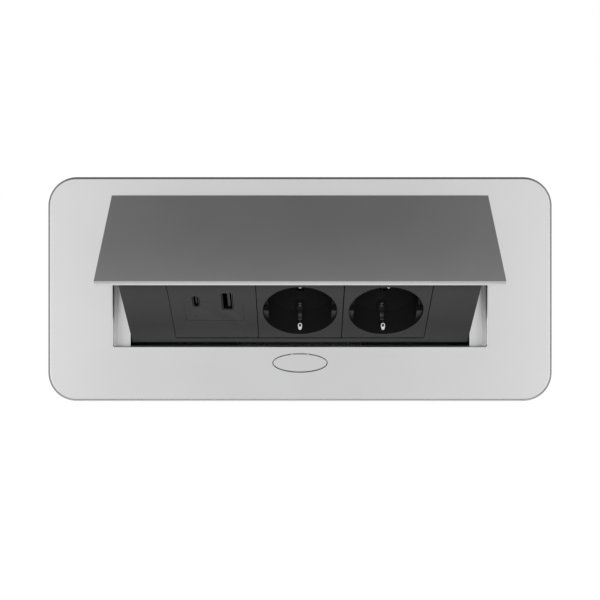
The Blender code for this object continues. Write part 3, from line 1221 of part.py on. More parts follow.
deck = empty("deck_plane", (0.0, 0.0, TUB_DEPTH))
hinge = (0.0, PIVOT_Y, PIVOT_Z)
bolt = (0.0, SLIDER_FRONT_Y, SLIDER_BOTTOM)
button_place = (0.0, BUTTON_Y, 0.0)
carriers = {
    "deck": (deck, (0.0, 0.0, 0.0)),
    "lid": (empty("hinge_axis", hinge, deck, -OPEN_ANGLE), hinge),
    "latch": (empty("latch_axis", bolt, deck), bolt),
    "button": (empty("button_axis", button_place, deck), button_place),
}
for name, side in sides("clamp_left", "clamp_right"):
    place = (side * TUB_LENGTH / 2, 0.0, CLAMP_SCREW_Z)
    carriers[name] = (empty(f"{name}_axis", place, deck), place)
seat_all(carriers)
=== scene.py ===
"""The looks of an in-desk power module: a satin frame in a worktop, and a lid that raises three inserts."""

import json
import math

import bmesh
import bpy
import numpy as np
from mathutils import Matrix, Vector


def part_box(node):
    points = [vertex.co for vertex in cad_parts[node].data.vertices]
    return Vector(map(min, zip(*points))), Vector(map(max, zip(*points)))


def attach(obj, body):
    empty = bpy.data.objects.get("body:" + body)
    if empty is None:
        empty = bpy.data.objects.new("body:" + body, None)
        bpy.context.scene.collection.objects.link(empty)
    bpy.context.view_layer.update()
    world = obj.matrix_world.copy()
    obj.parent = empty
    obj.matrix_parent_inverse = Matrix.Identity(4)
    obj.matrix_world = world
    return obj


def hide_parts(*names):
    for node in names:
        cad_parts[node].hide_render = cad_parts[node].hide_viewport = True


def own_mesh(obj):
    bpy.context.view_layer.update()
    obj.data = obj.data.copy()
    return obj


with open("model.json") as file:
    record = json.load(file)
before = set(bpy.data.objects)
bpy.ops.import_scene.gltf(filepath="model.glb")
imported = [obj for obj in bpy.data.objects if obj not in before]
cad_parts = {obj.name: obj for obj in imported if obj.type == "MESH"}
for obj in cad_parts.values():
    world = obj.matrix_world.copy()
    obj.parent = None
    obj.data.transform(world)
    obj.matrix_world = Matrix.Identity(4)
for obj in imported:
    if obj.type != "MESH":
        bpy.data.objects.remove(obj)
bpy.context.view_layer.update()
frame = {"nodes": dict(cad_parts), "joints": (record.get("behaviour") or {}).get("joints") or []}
for plain in list(bpy.data.materials):
    bpy.data.materials.remove(plain)


# The studio: a camera straight above a white sweep, under a wide soft sky that is dark behind the lid,
# lighter to the sides and the front, and brightest overhead, as satin metal needs.
CAMERA_PLACE = (0.0, -0.0058, 0.5175)
CAMERA_LENS = 50.0
SENSOR_WIDTH = 36.0
FLOOR_RADIUS = 1.1
FLOOR_HALF_WIDTH = 0.40
FLOOR_FRONT_SHIFT = 0.92
FLOOR_DROP = 0.0004
FLOOR_WHITE = 0.86
FLOOR_GLOW = 0.9
FLOOR_MIRRORED = 0.52
PAPER_ROUGHNESS = 0.9
PAPER_SPECULAR = 0.1
PAPER_STRENGTH = 1.02
SKY_HORIZON = 0.36
SKY_FRONT_GAIN = 0.06
SKY_REAR_LOSS = 0.17
SKY_REAR_FOCUS = 4.0
SKY_OVERHEAD = 0.80
SKY_SIDE_GAIN = 2.3
SKY_SIDE_LIMIT = 0.17
SKY_RISE_FROM = 0.34
SKY_RISE_SPAN = 0.54
LAMP_TARGET = (0.0, 0.0, 0.06)
LAMPS = (
    ("softbox_left", (-1.00, -0.1, 0.78), (0.5, 0.9), 1.6, True),
    ("softbox_right", (1.02, -0.1, 0.78), (0.5, 0.9), 1.3, True),
    ("key_overhead", (0.0, 0.02, 1.2), (0.8, 0.28), 8.0, False),
)


class Wire:
    """An output of a shader node. Operators on it add Math nodes, and node() adds any other kind."""

    def __init__(self, tree, socket=None):
        self.tree, self.socket = tree, socket

    def node(self, kind, settings=None, inputs=None, output=0):
        """Adds a node: its settings are set first, then the values or links of its sockets."""
        made = self.tree.nodes.new("ShaderNode" + kind)
        for name, value in (settings or {}).items():
            setattr(made, name, value)
        for name, value in (inputs or {}).items():
            if isinstance(value, Wire):
                self.tree.links.new(value.socket, made.inputs[name])
            else:
                made.inputs[name].default_value = value
        return Wire(self.tree, made.outputs[output])

    def other(self, output):
        """Another output of the same node."""
        return Wire(self.tree, self.socket.node.outputs[output])

    def math(self, operation, *values):
        """A Math node on the values, in the order of its sockets."""
        return self.node("Math", {"operation": operation}, dict(enumerate(values)))

    def __add__(self, value):
        return self.math("ADD", self, value)

    def __sub__(self, value):
        return self.math("SUBTRACT", self, value)

    def __rsub__(self, value):
        return self.math("SUBTRACT", value, self)

    def __mul__(self, value):
        return self.math("MULTIPLY", self, value)

    def __truediv__(self, value):
        return self.math("DIVIDE", self, value)

    __radd__ = __add__
    __rmul__ = __mul__

    def within(self, low, high):
        """1 where the value lies between low and high, and 0 elsewhere."""
        return self.math("GREATER_THAN", self, low) * self.math("LESS_THAN", self, high)

    def clamped(self):
        """The value, held between 0 and 1."""
        return self.node("Clamp", {}, {0: self})

    def blend(self, low, high):
        """A colour that goes from low to high as the value goes from 0 to 1."""
        mix = self.node("Mix", {"data_type": "RGBA"}, {"Factor": self}, 2)
        for socket, value in ((6, low), (7, high)):
            if isinstance(value, Wire):
                self.tree.links.new(value.socket, mix.socket.node.inputs[socket])
            else:
                mix.socket.node.inputs[socket].default_value = (*value, 1.0)
        return mix


camera_data = bpy.data.cameras.new("camera")
camera_data.lens = CAMERA_LENS
camera_data.sensor_width = SENSOR_WIDTH
camera = bpy.data.objects.new("camera", camera_data)
camera.location = CAMERA_PLACE
bpy.context.scene.collection.objects.link(camera)
bpy.context.scene.camera = camera
bpy.context.scene.view_settings.view_transform = "Standard"

world = bpy.data.worlds.new("studio_sky")
bpy.context.scene.world = world
world.use_nodes = True
background = world.node_tree.nodes["Background"]
sky = Wire(world.node_tree)
towards = sky.node("SeparateXYZ", {}, {0: sky.node("TexCoord", output="Generated")})
height = towards.other("Z")
rise = ((height - SKY_RISE_FROM) / SKY_RISE_SPAN).clamped()
rearward = towards.other("Y")
aside = towards.other("X")
dark = rearward.math("POWER", rearward.math("MAXIMUM", rearward, 0.0), SKY_REAR_FOCUS)
level_low = SKY_HORIZON - rearward * SKY_FRONT_GAIN - dark * SKY_REAR_LOSS
spread = aside.math("MINIMUM", aside * aside, SKY_SIDE_LIMIT)
level_high = SKY_OVERHEAD + spread * (SKY_OVERHEAD * SKY_SIDE_GAIN)
level = level_low + rise * (level_high - level_low)
ray = sky.node("LightPath", output="Is Camera Ray")
seen = ray.math("MAXIMUM", ray, ray.other("Is Transmission Ray"))
shown = level + seen * (1.0 - level)
world.node_tree.links.new(shown.socket, background.inputs["Color"])

turn = np.linspace(0.0, 2 * np.pi, 96, endpoint=False)
along = FLOOR_RADIUS * np.sin(turn) - FLOOR_FRONT_SHIFT
disc = np.stack([FLOOR_HALF_WIDTH * np.cos(turn), along, 0 * turn - FLOOR_DROP], axis=1)
floor_mesh = bpy.data.meshes.new("floor")
floor_mesh.from_pydata(disc.tolist(), [], [list(range(len(disc)))])
floor = bpy.data.objects.new("floor", floor_mesh)
bpy.context.scene.collection.objects.link(floor)
paper = bpy.data.materials.new("white_sweep")
paper.use_nodes = True
paper_shader = paper.node_tree.nodes["Principled BSDF"]
paper_shader.inputs["Base Color"].default_value = (FLOOR_WHITE, FLOOR_WHITE, FLOOR_WHITE, 1.0)
paper_shader.inputs["Roughness"].default_value = PAPER_ROUGHNESS
paper_shader.inputs["Specular IOR Level"].default_value = PAPER_SPECULAR
wire = Wire(paper.node_tree)
ray = wire.node("LightPath", output="Is Camera Ray")
seen = ray.math("MAXIMUM", ray, ray.other("Is Transmission Ray")) * FLOOR_GLOW
seen = ray.math("MAXIMUM", seen, ray.other("Is Glossy Ray") * FLOOR_MIRRORED)
glow = wire.node("Emission", {}, {"Color": (1.0, 1.0, 1.0, 1.0), "Strength": PAPER_STRENGTH})
mixed = wire.node("MixShader", {}, {0: seen, 1: Wire(paper.node_tree, paper_shader.outputs[0]), 2: glow})
paper.node_tree.links.new(mixed.socket, paper.node_tree.nodes["Material Output"].inputs["Surface"])
floor_mesh.materials.append(paper)

for name, place, size, power, mirrored in LAMPS:
    lamp_data = bpy.data.lights.new(name, "AREA")
    lamp_data.shape = "RECTANGLE"
    lamp_data.size, lamp_data.size_y = size
    lamp_data.energy = power
    lamp = bpy.data.objects.new(name, lamp_data)
    lamp.location = place
    lamp.visible_glossy = mirrored
    lamp.rotation_euler = (Vector(place) - Vector(LAMP_TARGET)).to_track_quat("Z", "Y").to_euler()
    bpy.context.scene.collection.objects.link(lamp)


# The frame: one aluminium casting with a satin anodised top. A bright chamfer runs round its outside, and a
# collar with a broken edge round its opening. Two end shelves close the gaps beside the socket box.
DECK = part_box("frame")[1][2]
FRAME_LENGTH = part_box("frame")[1][0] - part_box("frame")[0][0]
FRAME_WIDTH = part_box("frame")[1][1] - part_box("frame")[0][1]
FRAME_THICKNESS = 0.003
FRAME_CORNER = 0.0153
FRAME_CHAMFER = 0.0013
CHAMFER_DROP = 0.0012
OPENING_LENGTH = 0.1982
OPENING_WIDTH = 0.06086
OPENING_CORNER = 0.001
COLLAR_WALL = 0.002
COLLAR_DEPTH = 0.010
REAR_COLLAR_DEPTH = 0.005
SHELF_THICKNESS = 0.002
SHELF_INNER_X = 0.0920
FINE_EDGE = 0.00012
BROKEN_EDGE = 0.0004
BUTTON_Y = -0.0392
BUTTON_LENGTH = 0.0283
BUTTON_WIDTH = 0.00925
BUTTON_SLIT = 0.0005
BOSS_RADIUS = 0.0032
BOSS_DEPTH = 0.007
BOSS_BORE = 0.0018
BOSS_CORE = 0.002
BOSS_FILLET = 0.0004
BOSS_FILLET_Z = -0.0036
OVERCUT = 0.001
BOSS_PLACES = [(x, y) for x in (-0.1025, 0.1025) for y in (-0.044, 0.044)]
BOSS_PLACES += [(x, 0.044) for x in (-0.0855, 0.0855)] + [(x, BUTTON_Y) for x in (-0.0215, 0.0215)]
PEG_PLACES = [(x, 0.044) for x in (-0.0785, 0.0785)]
PEG_RADIUS = 0.0015
PEG_DEPTH = 0.0093
POST_PLACES = [(x, -0.03723) for x in (-0.0302, 0.0302)]
POST_RADIUS = 0.003
POST_DEPTH = 0.008
SILVER_COLOUR = (0.70, 0.70, 0.705)
CUT_GLOSS = 0.16
CUT_BAND = (-CHAMFER_DROP, -0.00012)

hinge = next(joint for joint in frame["joints"] if joint["name"] == "lid_hinge")
PIVOT_Y, PIVOT_Z = hinge["pos_m"][1], hinge["pos_m"][2] - DECK
OPEN_ANGLE = math.radians(-hinge["range_deg"][0])


def eased(points, radius, steps=4):
    """A polyline with its inner corners rounded: near corner P it follows (1-t)^2 A + 2t(1-t) P + t^2 C,
    where A and C lie on the two sides at the given distance from P."""
    points = np.asarray(points, float)
    before, corner, after = points[:-2], points[1:-1], points[2:]
    back, on = before - corner, after - corner
    start = corner + back * np.minimum(radius / np.linalg.norm(back, axis=1), 0.45)[:, None]
    end = corner + on * np.minimum(radius / np.linalg.norm(on, axis=1), 0.45)[:, None]
    t = np.linspace(0.0, 1.0, steps + 1)[None, :, None]
    curve = (1 - t) ** 2 * start[:, None] + 2 * t * (1 - t) * corner[:, None] + t ** 2 * end[:, None]
    return np.concatenate([points[:1], curve.reshape(-1, points.shape[1]), points[-1:]])


def rounded_loop(length, width, radius, steps, centre=(0.0, 0.0)):
    """A rounded rectangle: each corner's centre plus radius times (cos t, sin t) over its quarter turn."""
    t = np.linspace(0.0, np.pi / 2, steps + 1)[None] + np.arange(4)[:, None] * np.pi / 2
    across = np.array([1, -1, -1, 1])[:, None] * (length / 2 - radius) + radius * np.cos(t)
    along = np.array([1, 1, -1, -1])[:, None] * (width / 2 - radius) + radius * np.sin(t)
    return np.stack([centre[0] + across.ravel(), centre[1] + along.ravel()], axis=1)


def raised(loop, height, axis="Z"):
    """A flat loop set at a height along an axis."""
    a, b = np.asarray(loop, float).T
    h = np.full_like(a, height)
    return np.stack({"X": (h, a, b), "Y": (a, h, b), "Z": (a, b, h)}[axis], axis=1)


def grid(rings, closed=False):
    """Quads over rings[i, j]: each point joins the next one round its ring and its like on the next ring.
    A closed grid's last ring joins its first; an open one has both end rings filled."""
    rings = np.asarray(rings, float)
    index = np.arange(rings.shape[0] * rings.shape[1]).reshape(rings.shape[:2])
    low = index if closed else index[:-1]
    high = np.roll(index, -1, axis=0) if closed else index[1:]
    corners = [low, np.roll(low, -1, axis=1), np.roll(high, -1, axis=1), high]
    faces = np.stack(corners, axis=-1).reshape(-1, 4).tolist()
    if not closed:
        faces += [index[0, ::-1].tolist(), index[-1].tolist()]
    return rings.reshape(-1, 3), faces


def block(low, high):
    """A box between two corners."""
    middle = ((low[0] + high[0]) / 2, (low[1] + high[1]) / 2)
    spans = rounded_loop(high[0] - low[0], high[1] - low[1], 0.0, 0, middle)
    return grid([raised(spans, low[2]), raised(spans, high[2])])


def turned(profile, centre, axis="Z", steps=48, closed=False):
    """A turned solid: radius r and height h go to the centre plus r (cos t, sin t), at h along the axis."""
    t = np.linspace(0.0, 2 * np.pi, steps, endpoint=False)
    circle = np.stack([np.cos(t), np.sin(t)], axis=1)
    return grid([raised(np.asarray(centre) + radius * circle, h, axis) for radius, h in profile], closed)


def oval(length, width, centre, steps=96):
    """An ellipse: half the length times cos t, half the width times sin t."""
    t = np.linspace(0.0, 2 * np.pi, steps, endpoint=False)
    return np.stack([centre[0] + length / 2 * np.cos(t), centre[1] + width / 2 * np.sin(t)], axis=1)


def draw(name, *shapes):
    """An object made of closed shapes, still in the shut lid's frame with the deck at height 0."""
    shape = bmesh.new()
    for points, faces in shapes:
        part = bpy.data.meshes.new("part")
        part.from_pydata(points, [], faces)
        shape.from_mesh(part)
        bpy.data.meshes.remove(part)
    bmesh.ops.recalc_face_normals(shape, faces=shape.faces)
    mesh = bpy.data.meshes.new(name)
    shape.to_mesh(mesh)
    shape.free()
    piece = bpy.data.objects.new(name, mesh)
    bpy.context.scene.collection.objects.link(piece)
    return piece


def carve(piece, operation, *shapes):
    """Cuts closed shapes from a piece (DIFFERENCE) or joins them to it (UNION)."""
    for shape in shapes:
        tool = draw("tool", shape)
        modifier = piece.modifiers.new("tool", "BOOLEAN")
        modifier.operation, modifier.solver, modifier.object = operation, "EXACT", tool
        result = bpy.data.meshes.new_from_object(piece.evaluated_get(bpy.context.evaluated_depsgraph_get()))
        piece.modifiers.clear()
        before, tool_mesh = piece.data, tool.data
        piece.data = result
        bpy.data.objects.remove(tool)
        bpy.data.meshes.remove(tool_mesh)
        bpy.data.meshes.remove(before)
    return piece


def fit(piece, finish, body, *nodes, smooth=32):
    """Lifts a drawn piece to the deck and seats it on its body: the lid's pieces first turn about the hinge
    by the open angle a, so that (y, z) from the pivot goes to (y cos a + z sin a, z cos a - y sin a)."""
    mesh = piece.data
    flat = np.empty(len(mesh.vertices) * 3)
    mesh.vertices.foreach_get("co", flat)
    x, y, z = flat.reshape(-1, 3).T
    if body == "lid_unit":
        y, z = y - PIVOT_Y, z - PIVOT_Z
        cosine, sine = math.cos(OPEN_ANGLE), math.sin(OPEN_ANGLE)
        y, z = PIVOT_Y + y * cosine + z * sine, PIVOT_Z + z * cosine - y * sine
    mesh.vertices.foreach_set("co", np.stack([x, y, z + DECK], axis=1).ravel())
    mesh.update()
    mesh.shade_smooth()
    mesh.set_sharp_from_angle(angle=math.radians(smooth))
    mesh.materials.clear()
    mesh.materials.append(finish)
    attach(piece, body)
    if nodes:
        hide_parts(*nodes)
    return piece


def blank_finish(name, slot, colour, roughness, metallic, coat=0.0):
    """A Principled material for a slot, with its constants set, the wire to build on, and its shader node."""
    made = bpy.data.materials.new(name)
    made["slot"] = slot
    made.use_nodes = True
    shader = made.node_tree.nodes["Principled BSDF"]
    shader.inputs["Base Color"].default_value = (*colour, 1.0)
    shader.inputs["Roughness"].default_value = roughness
    shader.inputs["Metallic"].default_value = metallic
    shader.inputs["Coat Weight"].default_value = coat
    return made, Wire(made.node_tree), shader


def feed(shader, socket, wire):
    """A wire feeds one of the shader's sockets."""
    shader.id_data.links.new(wire.socket, shader.inputs[socket])


def bumped(shader, height, distance, strength=1.0):
    """A height feeds the shader's normal through a Bump node."""
    settings = {"Strength": strength, "Distance": distance, "Height": height}
    feed(shader, "Normal", height.node("Bump", {}, settings))


def satin_silver(name, cut=False):
    """Anodised aluminium: fine even grain and a faint cloudiness in its gloss. A cut chamfer is glossier."""
    made, wire, shader = blank_finish(name, "satin_silver", SILVER_COLOUR, 0.3, 1.0)
    spot = wire.node("TexCoord", output="Object")
    grain = wire.node("TexNoise", {}, {"Vector": spot, "Scale": 5200.0, "Detail": 2.0})
    cloud = wire.node("TexNoise", {}, {"Vector": spot, "Scale": 26.0, "Detail": 3.0})
    gloss = 0.255 + cloud * 0.06 + grain * 0.03
    if cut:
        height = wire.node("SeparateXYZ", {}, {0: spot}).other("Z") - DECK
        gloss = gloss - height.within(*CUT_BAND) * CUT_GLOSS
    feed(shader, "Roughness", gloss)
    tint = cloud.blend(tuple(0.97 * c for c in SILVER_COLOUR), tuple(1.03 * c for c in SILVER_COLOUR))
    feed(shader, "Base Color", tint)
    bumped(shader, grain, 0.000004, 0.35)
    return made


silver = satin_silver("satin_silver")
cut_silver = satin_silver("cut_silver", cut=True)


def rim_ring(inset, height):
    """The frame's outline moved in by the inset, at a height."""
    size = (FRAME_LENGTH - 2 * inset, FRAME_WIDTH - 2 * inset)
    return raised(rounded_loop(*size, FRAME_CORNER - inset, 32), height)


def mouth_ring(spread, height):
    """The opening's outline moved out by the spread, at a height."""
    size = (OPENING_LENGTH + 2 * spread, OPENING_WIDTH + 2 * spread)
    return raised(rounded_loop(*size, OPENING_CORNER + spread, 32), height)


outside = eased([
    (0.0006, -FRAME_THICKNESS),
    (0.0, -FRAME_THICKNESS),
    (0.0, -CHAMFER_DROP),
    (FRAME_CHAMFER, 0.0),
    (FRAME_CHAMFER + 0.001, 0.0),
], FINE_EDGE)
inside = eased([
    (0.002, 0.0),
    (BROKEN_EDGE, 0.0),
    (0.0, -BROKEN_EDGE),
    (0.0, -COLLAR_DEPTH),
    (COLLAR_WALL, -COLLAR_DEPTH),
    (COLLAR_WALL, -FRAME_THICKNESS),
], FINE_EDGE)
rings = [rim_ring(*spot) for spot in outside] + [mouth_ring(*spot) for spot in inside]
rim = draw("frame_rim", grid(rings, closed=True))
rear = OPENING_WIDTH / 2 - COLLAR_WALL
behind = rear + 3 * COLLAR_WALL
carve(rim, "DIFFERENCE", block((-SHELF_INNER_X, rear, -0.0103), (SHELF_INNER_X, behind, -REAR_COLLAR_DEPTH)))
for side in (-1, 1):
    ends = sorted((side * SHELF_INNER_X, side * (OPENING_LENGTH / 2 + COLLAR_WALL)))
    reach = OPENING_WIDTH / 2 + COLLAR_WALL
    low, high = -COLLAR_DEPTH - SHELF_THICKNESS, -COLLAR_DEPTH
    carve(rim, "UNION", block((ends[0], -reach, low), (ends[1], reach, high)))
into_plate = -FRAME_THICKNESS / 2
boss = [(BOSS_CORE, into_plate), (BOSS_RADIUS + BOSS_FILLET, into_plate)]
boss += [(BOSS_RADIUS, BOSS_FILLET_Z), (BOSS_RADIUS, -BOSS_DEPTH)]
peg = [(BOSS_RADIUS, into_plate), (BOSS_RADIUS, -BOSS_DEPTH)]
peg += [(PEG_RADIUS, -BOSS_DEPTH), (PEG_RADIUS, -PEG_DEPTH)]
post = [(POST_RADIUS, into_plate), (POST_RADIUS, -POST_DEPTH)]
for spots, profile in ((BOSS_PLACES, boss), (PEG_PLACES, peg), (POST_PLACES, post)):
    for spot in spots:
        carve(rim, "UNION", turned(profile, spot, steps=32))
bore = [(BOSS_BORE, -BOSS_DEPTH - OVERCUT), (BOSS_BORE, into_plate)]
for spot in BOSS_PLACES:
    carve(rim, "DIFFERENCE", turned(bore, spot, steps=24))
slit = [(2 * BUTTON_SLIT + FINE_EDGE, OVERCUT), (2 * BUTTON_SLIT + FINE_EDGE, 0.0)]
slit += [(2 * BUTTON_SLIT, -FINE_EDGE), (2 * BUTTON_SLIT, -FRAME_THICKNESS - OVERCUT)]
hole = [raised(oval(BUTTON_LENGTH + grow, BUTTON_WIDTH + grow, (0.0, BUTTON_Y)), h) for grow, h in slit]
carve(rim, "DIFFERENCE", grid(hole))
fit(rim, cut_silver, "root", "frame")


# The lid: a flat aluminium plate with the frame's satin finish, sawn to length and bevelled along its rear
# edge so that it swings past the frame. Four bosses below it take the screws of the socket box.
GAP = 0.0003
LID_HALF = OPENING_LENGTH / 2 - 0.0004
LID_FRONT_Y = -OPENING_WIDTH / 2 + GAP
LID_THICKNESS = 0.0028
LID_REAR_TOP = 0.03012
LID_REAR_LOW = 0.02713
LID_EDGE = 0.00018
LID_SCREW_PLACES = [(x, y) for x in (-0.075, 0.075) for y in (-0.006, 0.0145)]
LID_BOSS_RADIUS = 0.00325
BOX_TOP = -LID_THICKNESS - GAP
SHELL_WALL = 0.002


def inset_corners(corners, inset):
    """A convex outline, counter-clockwise, moved in: each side shifts along its inward normal by the inset,
    and neighbouring sides meet again where both of their lines hold."""
    corners = np.asarray(corners, float)
    side = np.roll(corners, -1, axis=0) - corners
    normal = np.stack([-side[:, 1], side[:, 0]], axis=1) / np.linalg.norm(side, axis=1)[:, None]
    offset = np.sum(normal * corners, axis=1) + inset
    pairs = np.stack([np.roll(normal, 1, axis=0), normal], axis=1)
    return np.linalg.solve(pairs, np.stack([np.roll(offset, 1), offset], axis=1)[..., None])[..., 0]


def soft_outline(corners, radius, steps=4):
    """A closed outline with each corner eased."""
    corners = np.asarray(corners, float)
    looped = np.concatenate([corners[-1:], corners, corners[:1]])
    return eased(looped, radius, steps)[1:-1]


def slab(corners, low, high, axis, edge):
    """A convex outline carried along an axis, with all its edges rounded: towards both ends it moves in by
    edge (1 - sin t) at a distance edge (1 - cos t) from the end."""
    turns = np.linspace(0.0, np.pi / 2, 5)
    near, far = [], []
    for t in turns:
        outline = soft_outline(inset_corners(corners, edge * (1 - math.sin(t))), edge)
        depth = edge * (1 - math.cos(t))
        near.append(raised(outline, low + depth, axis))
        far.append(raised(outline, high - depth, axis))
    return grid(near + far[::-1])


lid_section = [
    (LID_FRONT_Y, -LID_THICKNESS),
    (LID_REAR_LOW, -LID_THICKNESS),
    (LID_REAR_TOP, 0.0),
    (LID_FRONT_Y, 0.0),
]
lid = draw("lid_plate", slab(lid_section, -LID_HALF, LID_HALF, "X", LID_EDGE))
low = BOX_TOP - SHELL_WALL
lid_boss = [(LID_BOSS_RADIUS, -LID_THICKNESS / 2), (LID_BOSS_RADIUS, low)]
lid_bore = [(BOSS_BORE, -LID_THICKNESS / 2), (BOSS_BORE, low - OVERCUT)]
for spot in LID_SCREW_PLACES:
    carve(lid, "UNION", turned(lid_boss, spot, steps=40))
    carve(lid, "DIFFERENCE", turned(lid_bore, spot, steps=24))
fit(lid, silver, "lid_unit", "lid")


# The push button: an oval cap of the same satin metal, flush in its slit, with a flange that holds it in and
# a socket below for the push rod. Two small nibs on its rear side keep it square in the hole.
BUTTON_FLUSH = 0.0001
BUTTON_EDGE = 0.0003
BUTTON_LIP = 0.0015
BUTTON_FLANGE_TOP = -FRAME_THICKNESS - GAP
BUTTON_LOW = BUTTON_FLANGE_TOP - 0.0015
BUTTON_ROOT = 0.0007
NIB_X = 0.0042
NIB_WIDTH = 0.0013
NIB_EDGE_Y = BUTTON_Y + 0.00466
NIB_DROP = 0.00015
SPRING_PEG_X = 0.0105
SPRING_PEG_RADIUS = 0.0013
SPRING_PEG_TIP = 0.0009
SPRING_PEG_DROPS = (0.0012, 0.0015)
ROD_BACK_Y = BUTTON_Y + 0.0026
ROD_FRONT_Y = BUTTON_Y - 0.0016
ROD_SOCKET_DEPTH = 0.003
ROD_SOCKET_HALF = 0.0038
ROD_SOCKET_WALL = 0.0018
ROD_HOLE_HALF = 0.0023

cap = eased([
    (2 * BUTTON_LIP, BUTTON_LOW),
    (2 * BUTTON_LIP, BUTTON_FLANGE_TOP),
    (0.0, BUTTON_FLANGE_TOP),
    (0.0, -BUTTON_FLUSH),
    (-2 * BUTTON_EDGE - 0.001, -BUTTON_FLUSH),
], BUTTON_EDGE)
ovals = [raised(oval(BUTTON_LENGTH + grow, BUTTON_WIDTH + grow, (0.0, BUTTON_Y)), h) for grow, h in cap]
button = draw("push_button_cap", grid(ovals))
spring_peg = [
    (SPRING_PEG_RADIUS, BUTTON_LOW + BUTTON_ROOT),
    (SPRING_PEG_RADIUS, BUTTON_LOW - SPRING_PEG_DROPS[0]),
    (SPRING_PEG_TIP, BUTTON_LOW - SPRING_PEG_DROPS[1]),
]
for side in (-1, 1):
    x = side * NIB_X
    low, high = BUTTON_FLANGE_TOP - BUTTON_ROOT, -BUTTON_FLUSH - NIB_DROP
    nib = block((x - NIB_WIDTH / 2, BUTTON_Y, low), (x + NIB_WIDTH / 2, NIB_EDGE_Y, high))
    peg = turned(spring_peg, (side * SPRING_PEG_X, BUTTON_Y), steps=24)
    carve(button, "UNION", nib, peg)
socket_low = BUTTON_LOW - ROD_SOCKET_DEPTH
low = (-ROD_SOCKET_HALF, ROD_FRONT_Y - ROD_SOCKET_WALL, socket_low)
high = (ROD_SOCKET_HALF, ROD_BACK_Y + ROD_SOCKET_WALL, BUTTON_LOW + BUTTON_ROOT)
carve(button, "UNION", block(low, high))
low = (-ROD_HOLE_HALF, ROD_FRONT_Y - GAP, socket_low - OVERCUT)
high = (ROD_HOLE_HALF, ROD_BACK_Y + GAP, BUTTON_LOW)
carve(button, "DIFFERENCE", block(low, high))
fit(button, silver, "button", "push_button")


# The bezel and rear shell of the socket box, moulded in black plastic with a fine spark-eroded texture.
# The bezel snaps into the shell, and the shell hangs from the lid on four screws.
def shut_place(wire):
    """A piece's own coordinates turned back to the shut lid's frame: a point less the pivot turns by the open
    angle about X, and the pivot is added again, with the deck at height 0."""
    turn_back = Matrix.Rotation(OPEN_ANGLE, 3, "X")
    pivot = Vector((0.0, PIVOT_Y, PIVOT_Z))
    shift = pivot - turn_back @ (pivot + Vector((0.0, 0.0, DECK)))
    spot = wire.node("TexCoord", output="Object")
    sockets = {"Vector": spot, "Location": shift, "Rotation": (OPEN_ANGLE, 0.0, 0.0)}
    return wire.node("Mapping", {"vector_type": "POINT"}, sockets)


FACE_Y = LID_FRONT_Y + 0.01313
MODULE = 0.045
MODULE_Z = -0.0163 - MODULE / 2
BLACK_FACE = (0.045, 0.045, 0.0455)
# Painted light: the paler black that the lower face turns to towards the lip, where the frame's front edge
# shades it.
LIP_PAINTED_LIGHT = (0.084, 0.084, 0.085)
LIP_LIGHT_FROM = -0.0480
LIP_LIGHT_SPAN = 0.0150
LIP_DEPTH = (-0.0010, 0.0032)
JOINT_HALF = 0.0004
# Painted shade: the near-black used for the gap under the inserts and inside a socket's recess.
PAINTED_SHADE_BLACK = (0.0078, 0.0078, 0.0082)
CUP_FADE = (0.00005, 0.0004)
# Painted light on the guide ears: the lower ears keep the face colour, strongest EAR_BRIGHT below the middle
# and gone by EAR_FADE.
EAR_BAND = (0.0023, 0.00285)
EAR_START = 0.0161
EAR_BRIGHT = 0.0035
EAR_FADE = 0.0055


def moulded_black(name, recessed=False):
    """Matt black plastic: a fine even texture and a little gloss that varies. Painted light lightens it
    towards the bezel's lower lip; painted shade darkens the joint under the inserts and a socket's recess,
    all but its lower guide ears, which keep the face colour as painted light."""
    made, wire, shader = blank_finish(name, "black_plastic", BLACK_FACE, 0.42, 0.0)
    shader.inputs["Specular IOR Level"].default_value = 0.14
    spot = wire.node("TexCoord", output="Object")
    texture = wire.node("TexNoise", {}, {"Vector": spot, "Scale": 6500.0, "Detail": 1.0})
    flow = wire.node("TexNoise", {}, {"Vector": spot, "Scale": 45.0, "Detail": 3.0})
    colour = flow.blend(tuple(0.94 * c for c in BLACK_FACE), tuple(1.06 * c for c in BLACK_FACE))
    place = wire.node("SeparateXYZ", {}, {0: shut_place(wire)})
    depth = place.other("Y") - FACE_Y
    # Painted light: the face is lightened towards the lower lip, where the frame's front edge keeps light
    # from it.
    low = ((LIP_LIGHT_FROM - place.other("Z")) / LIP_LIGHT_SPAN).clamped()
    colour = (low * low * depth.within(*LIP_DEPTH)).blend(colour, LIP_PAINTED_LIGHT)
    # Painted shade: a thin dark line along the gap under the inserts, near the face.
    joint = (place.other("Z") - (MODULE_Z - MODULE / 2)).within(-JOINT_HALF, JOINT_HALF)
    beside = place.other("X").within(-1.5 * MODULE, 1.5 * MODULE)
    colour = (joint * beside * depth.within(*LIP_DEPTH)).blend(colour, PAINTED_SHADE_BLACK)
    if recessed:
        # Painted shade darkens a socket's recess from just behind the face; the lower guide ears keep the
        # face colour as painted light.
        inside_cup = ((depth - CUP_FADE[0]) / CUP_FADE[1]).clamped()
        from_middle = place.math("WRAP", place.other("X"), MODULE / 2, -MODULE / 2)
        square = from_middle * from_middle
        rise = place.other("Z") - (MODULE_Z - EAR_BRIGHT)
        ear_painted_light = (1.0 - rise.math("ABSOLUTE", rise) / EAR_FADE).clamped()
        on_ear = depth.within(*EAR_BAND) * square.math("GREATER_THAN", square, EAR_START ** 2) * ear_painted_light
        colour = (inside_cup * (1.0 - on_ear)).blend(colour, PAINTED_SHADE_BLACK)
    feed(shader, "Base Color", colour)
    feed(shader, "Roughness", 0.38 + flow * 0.1 + texture * 0.06)
    bumped(shader, texture, 0.00001, 0.4)
    return made


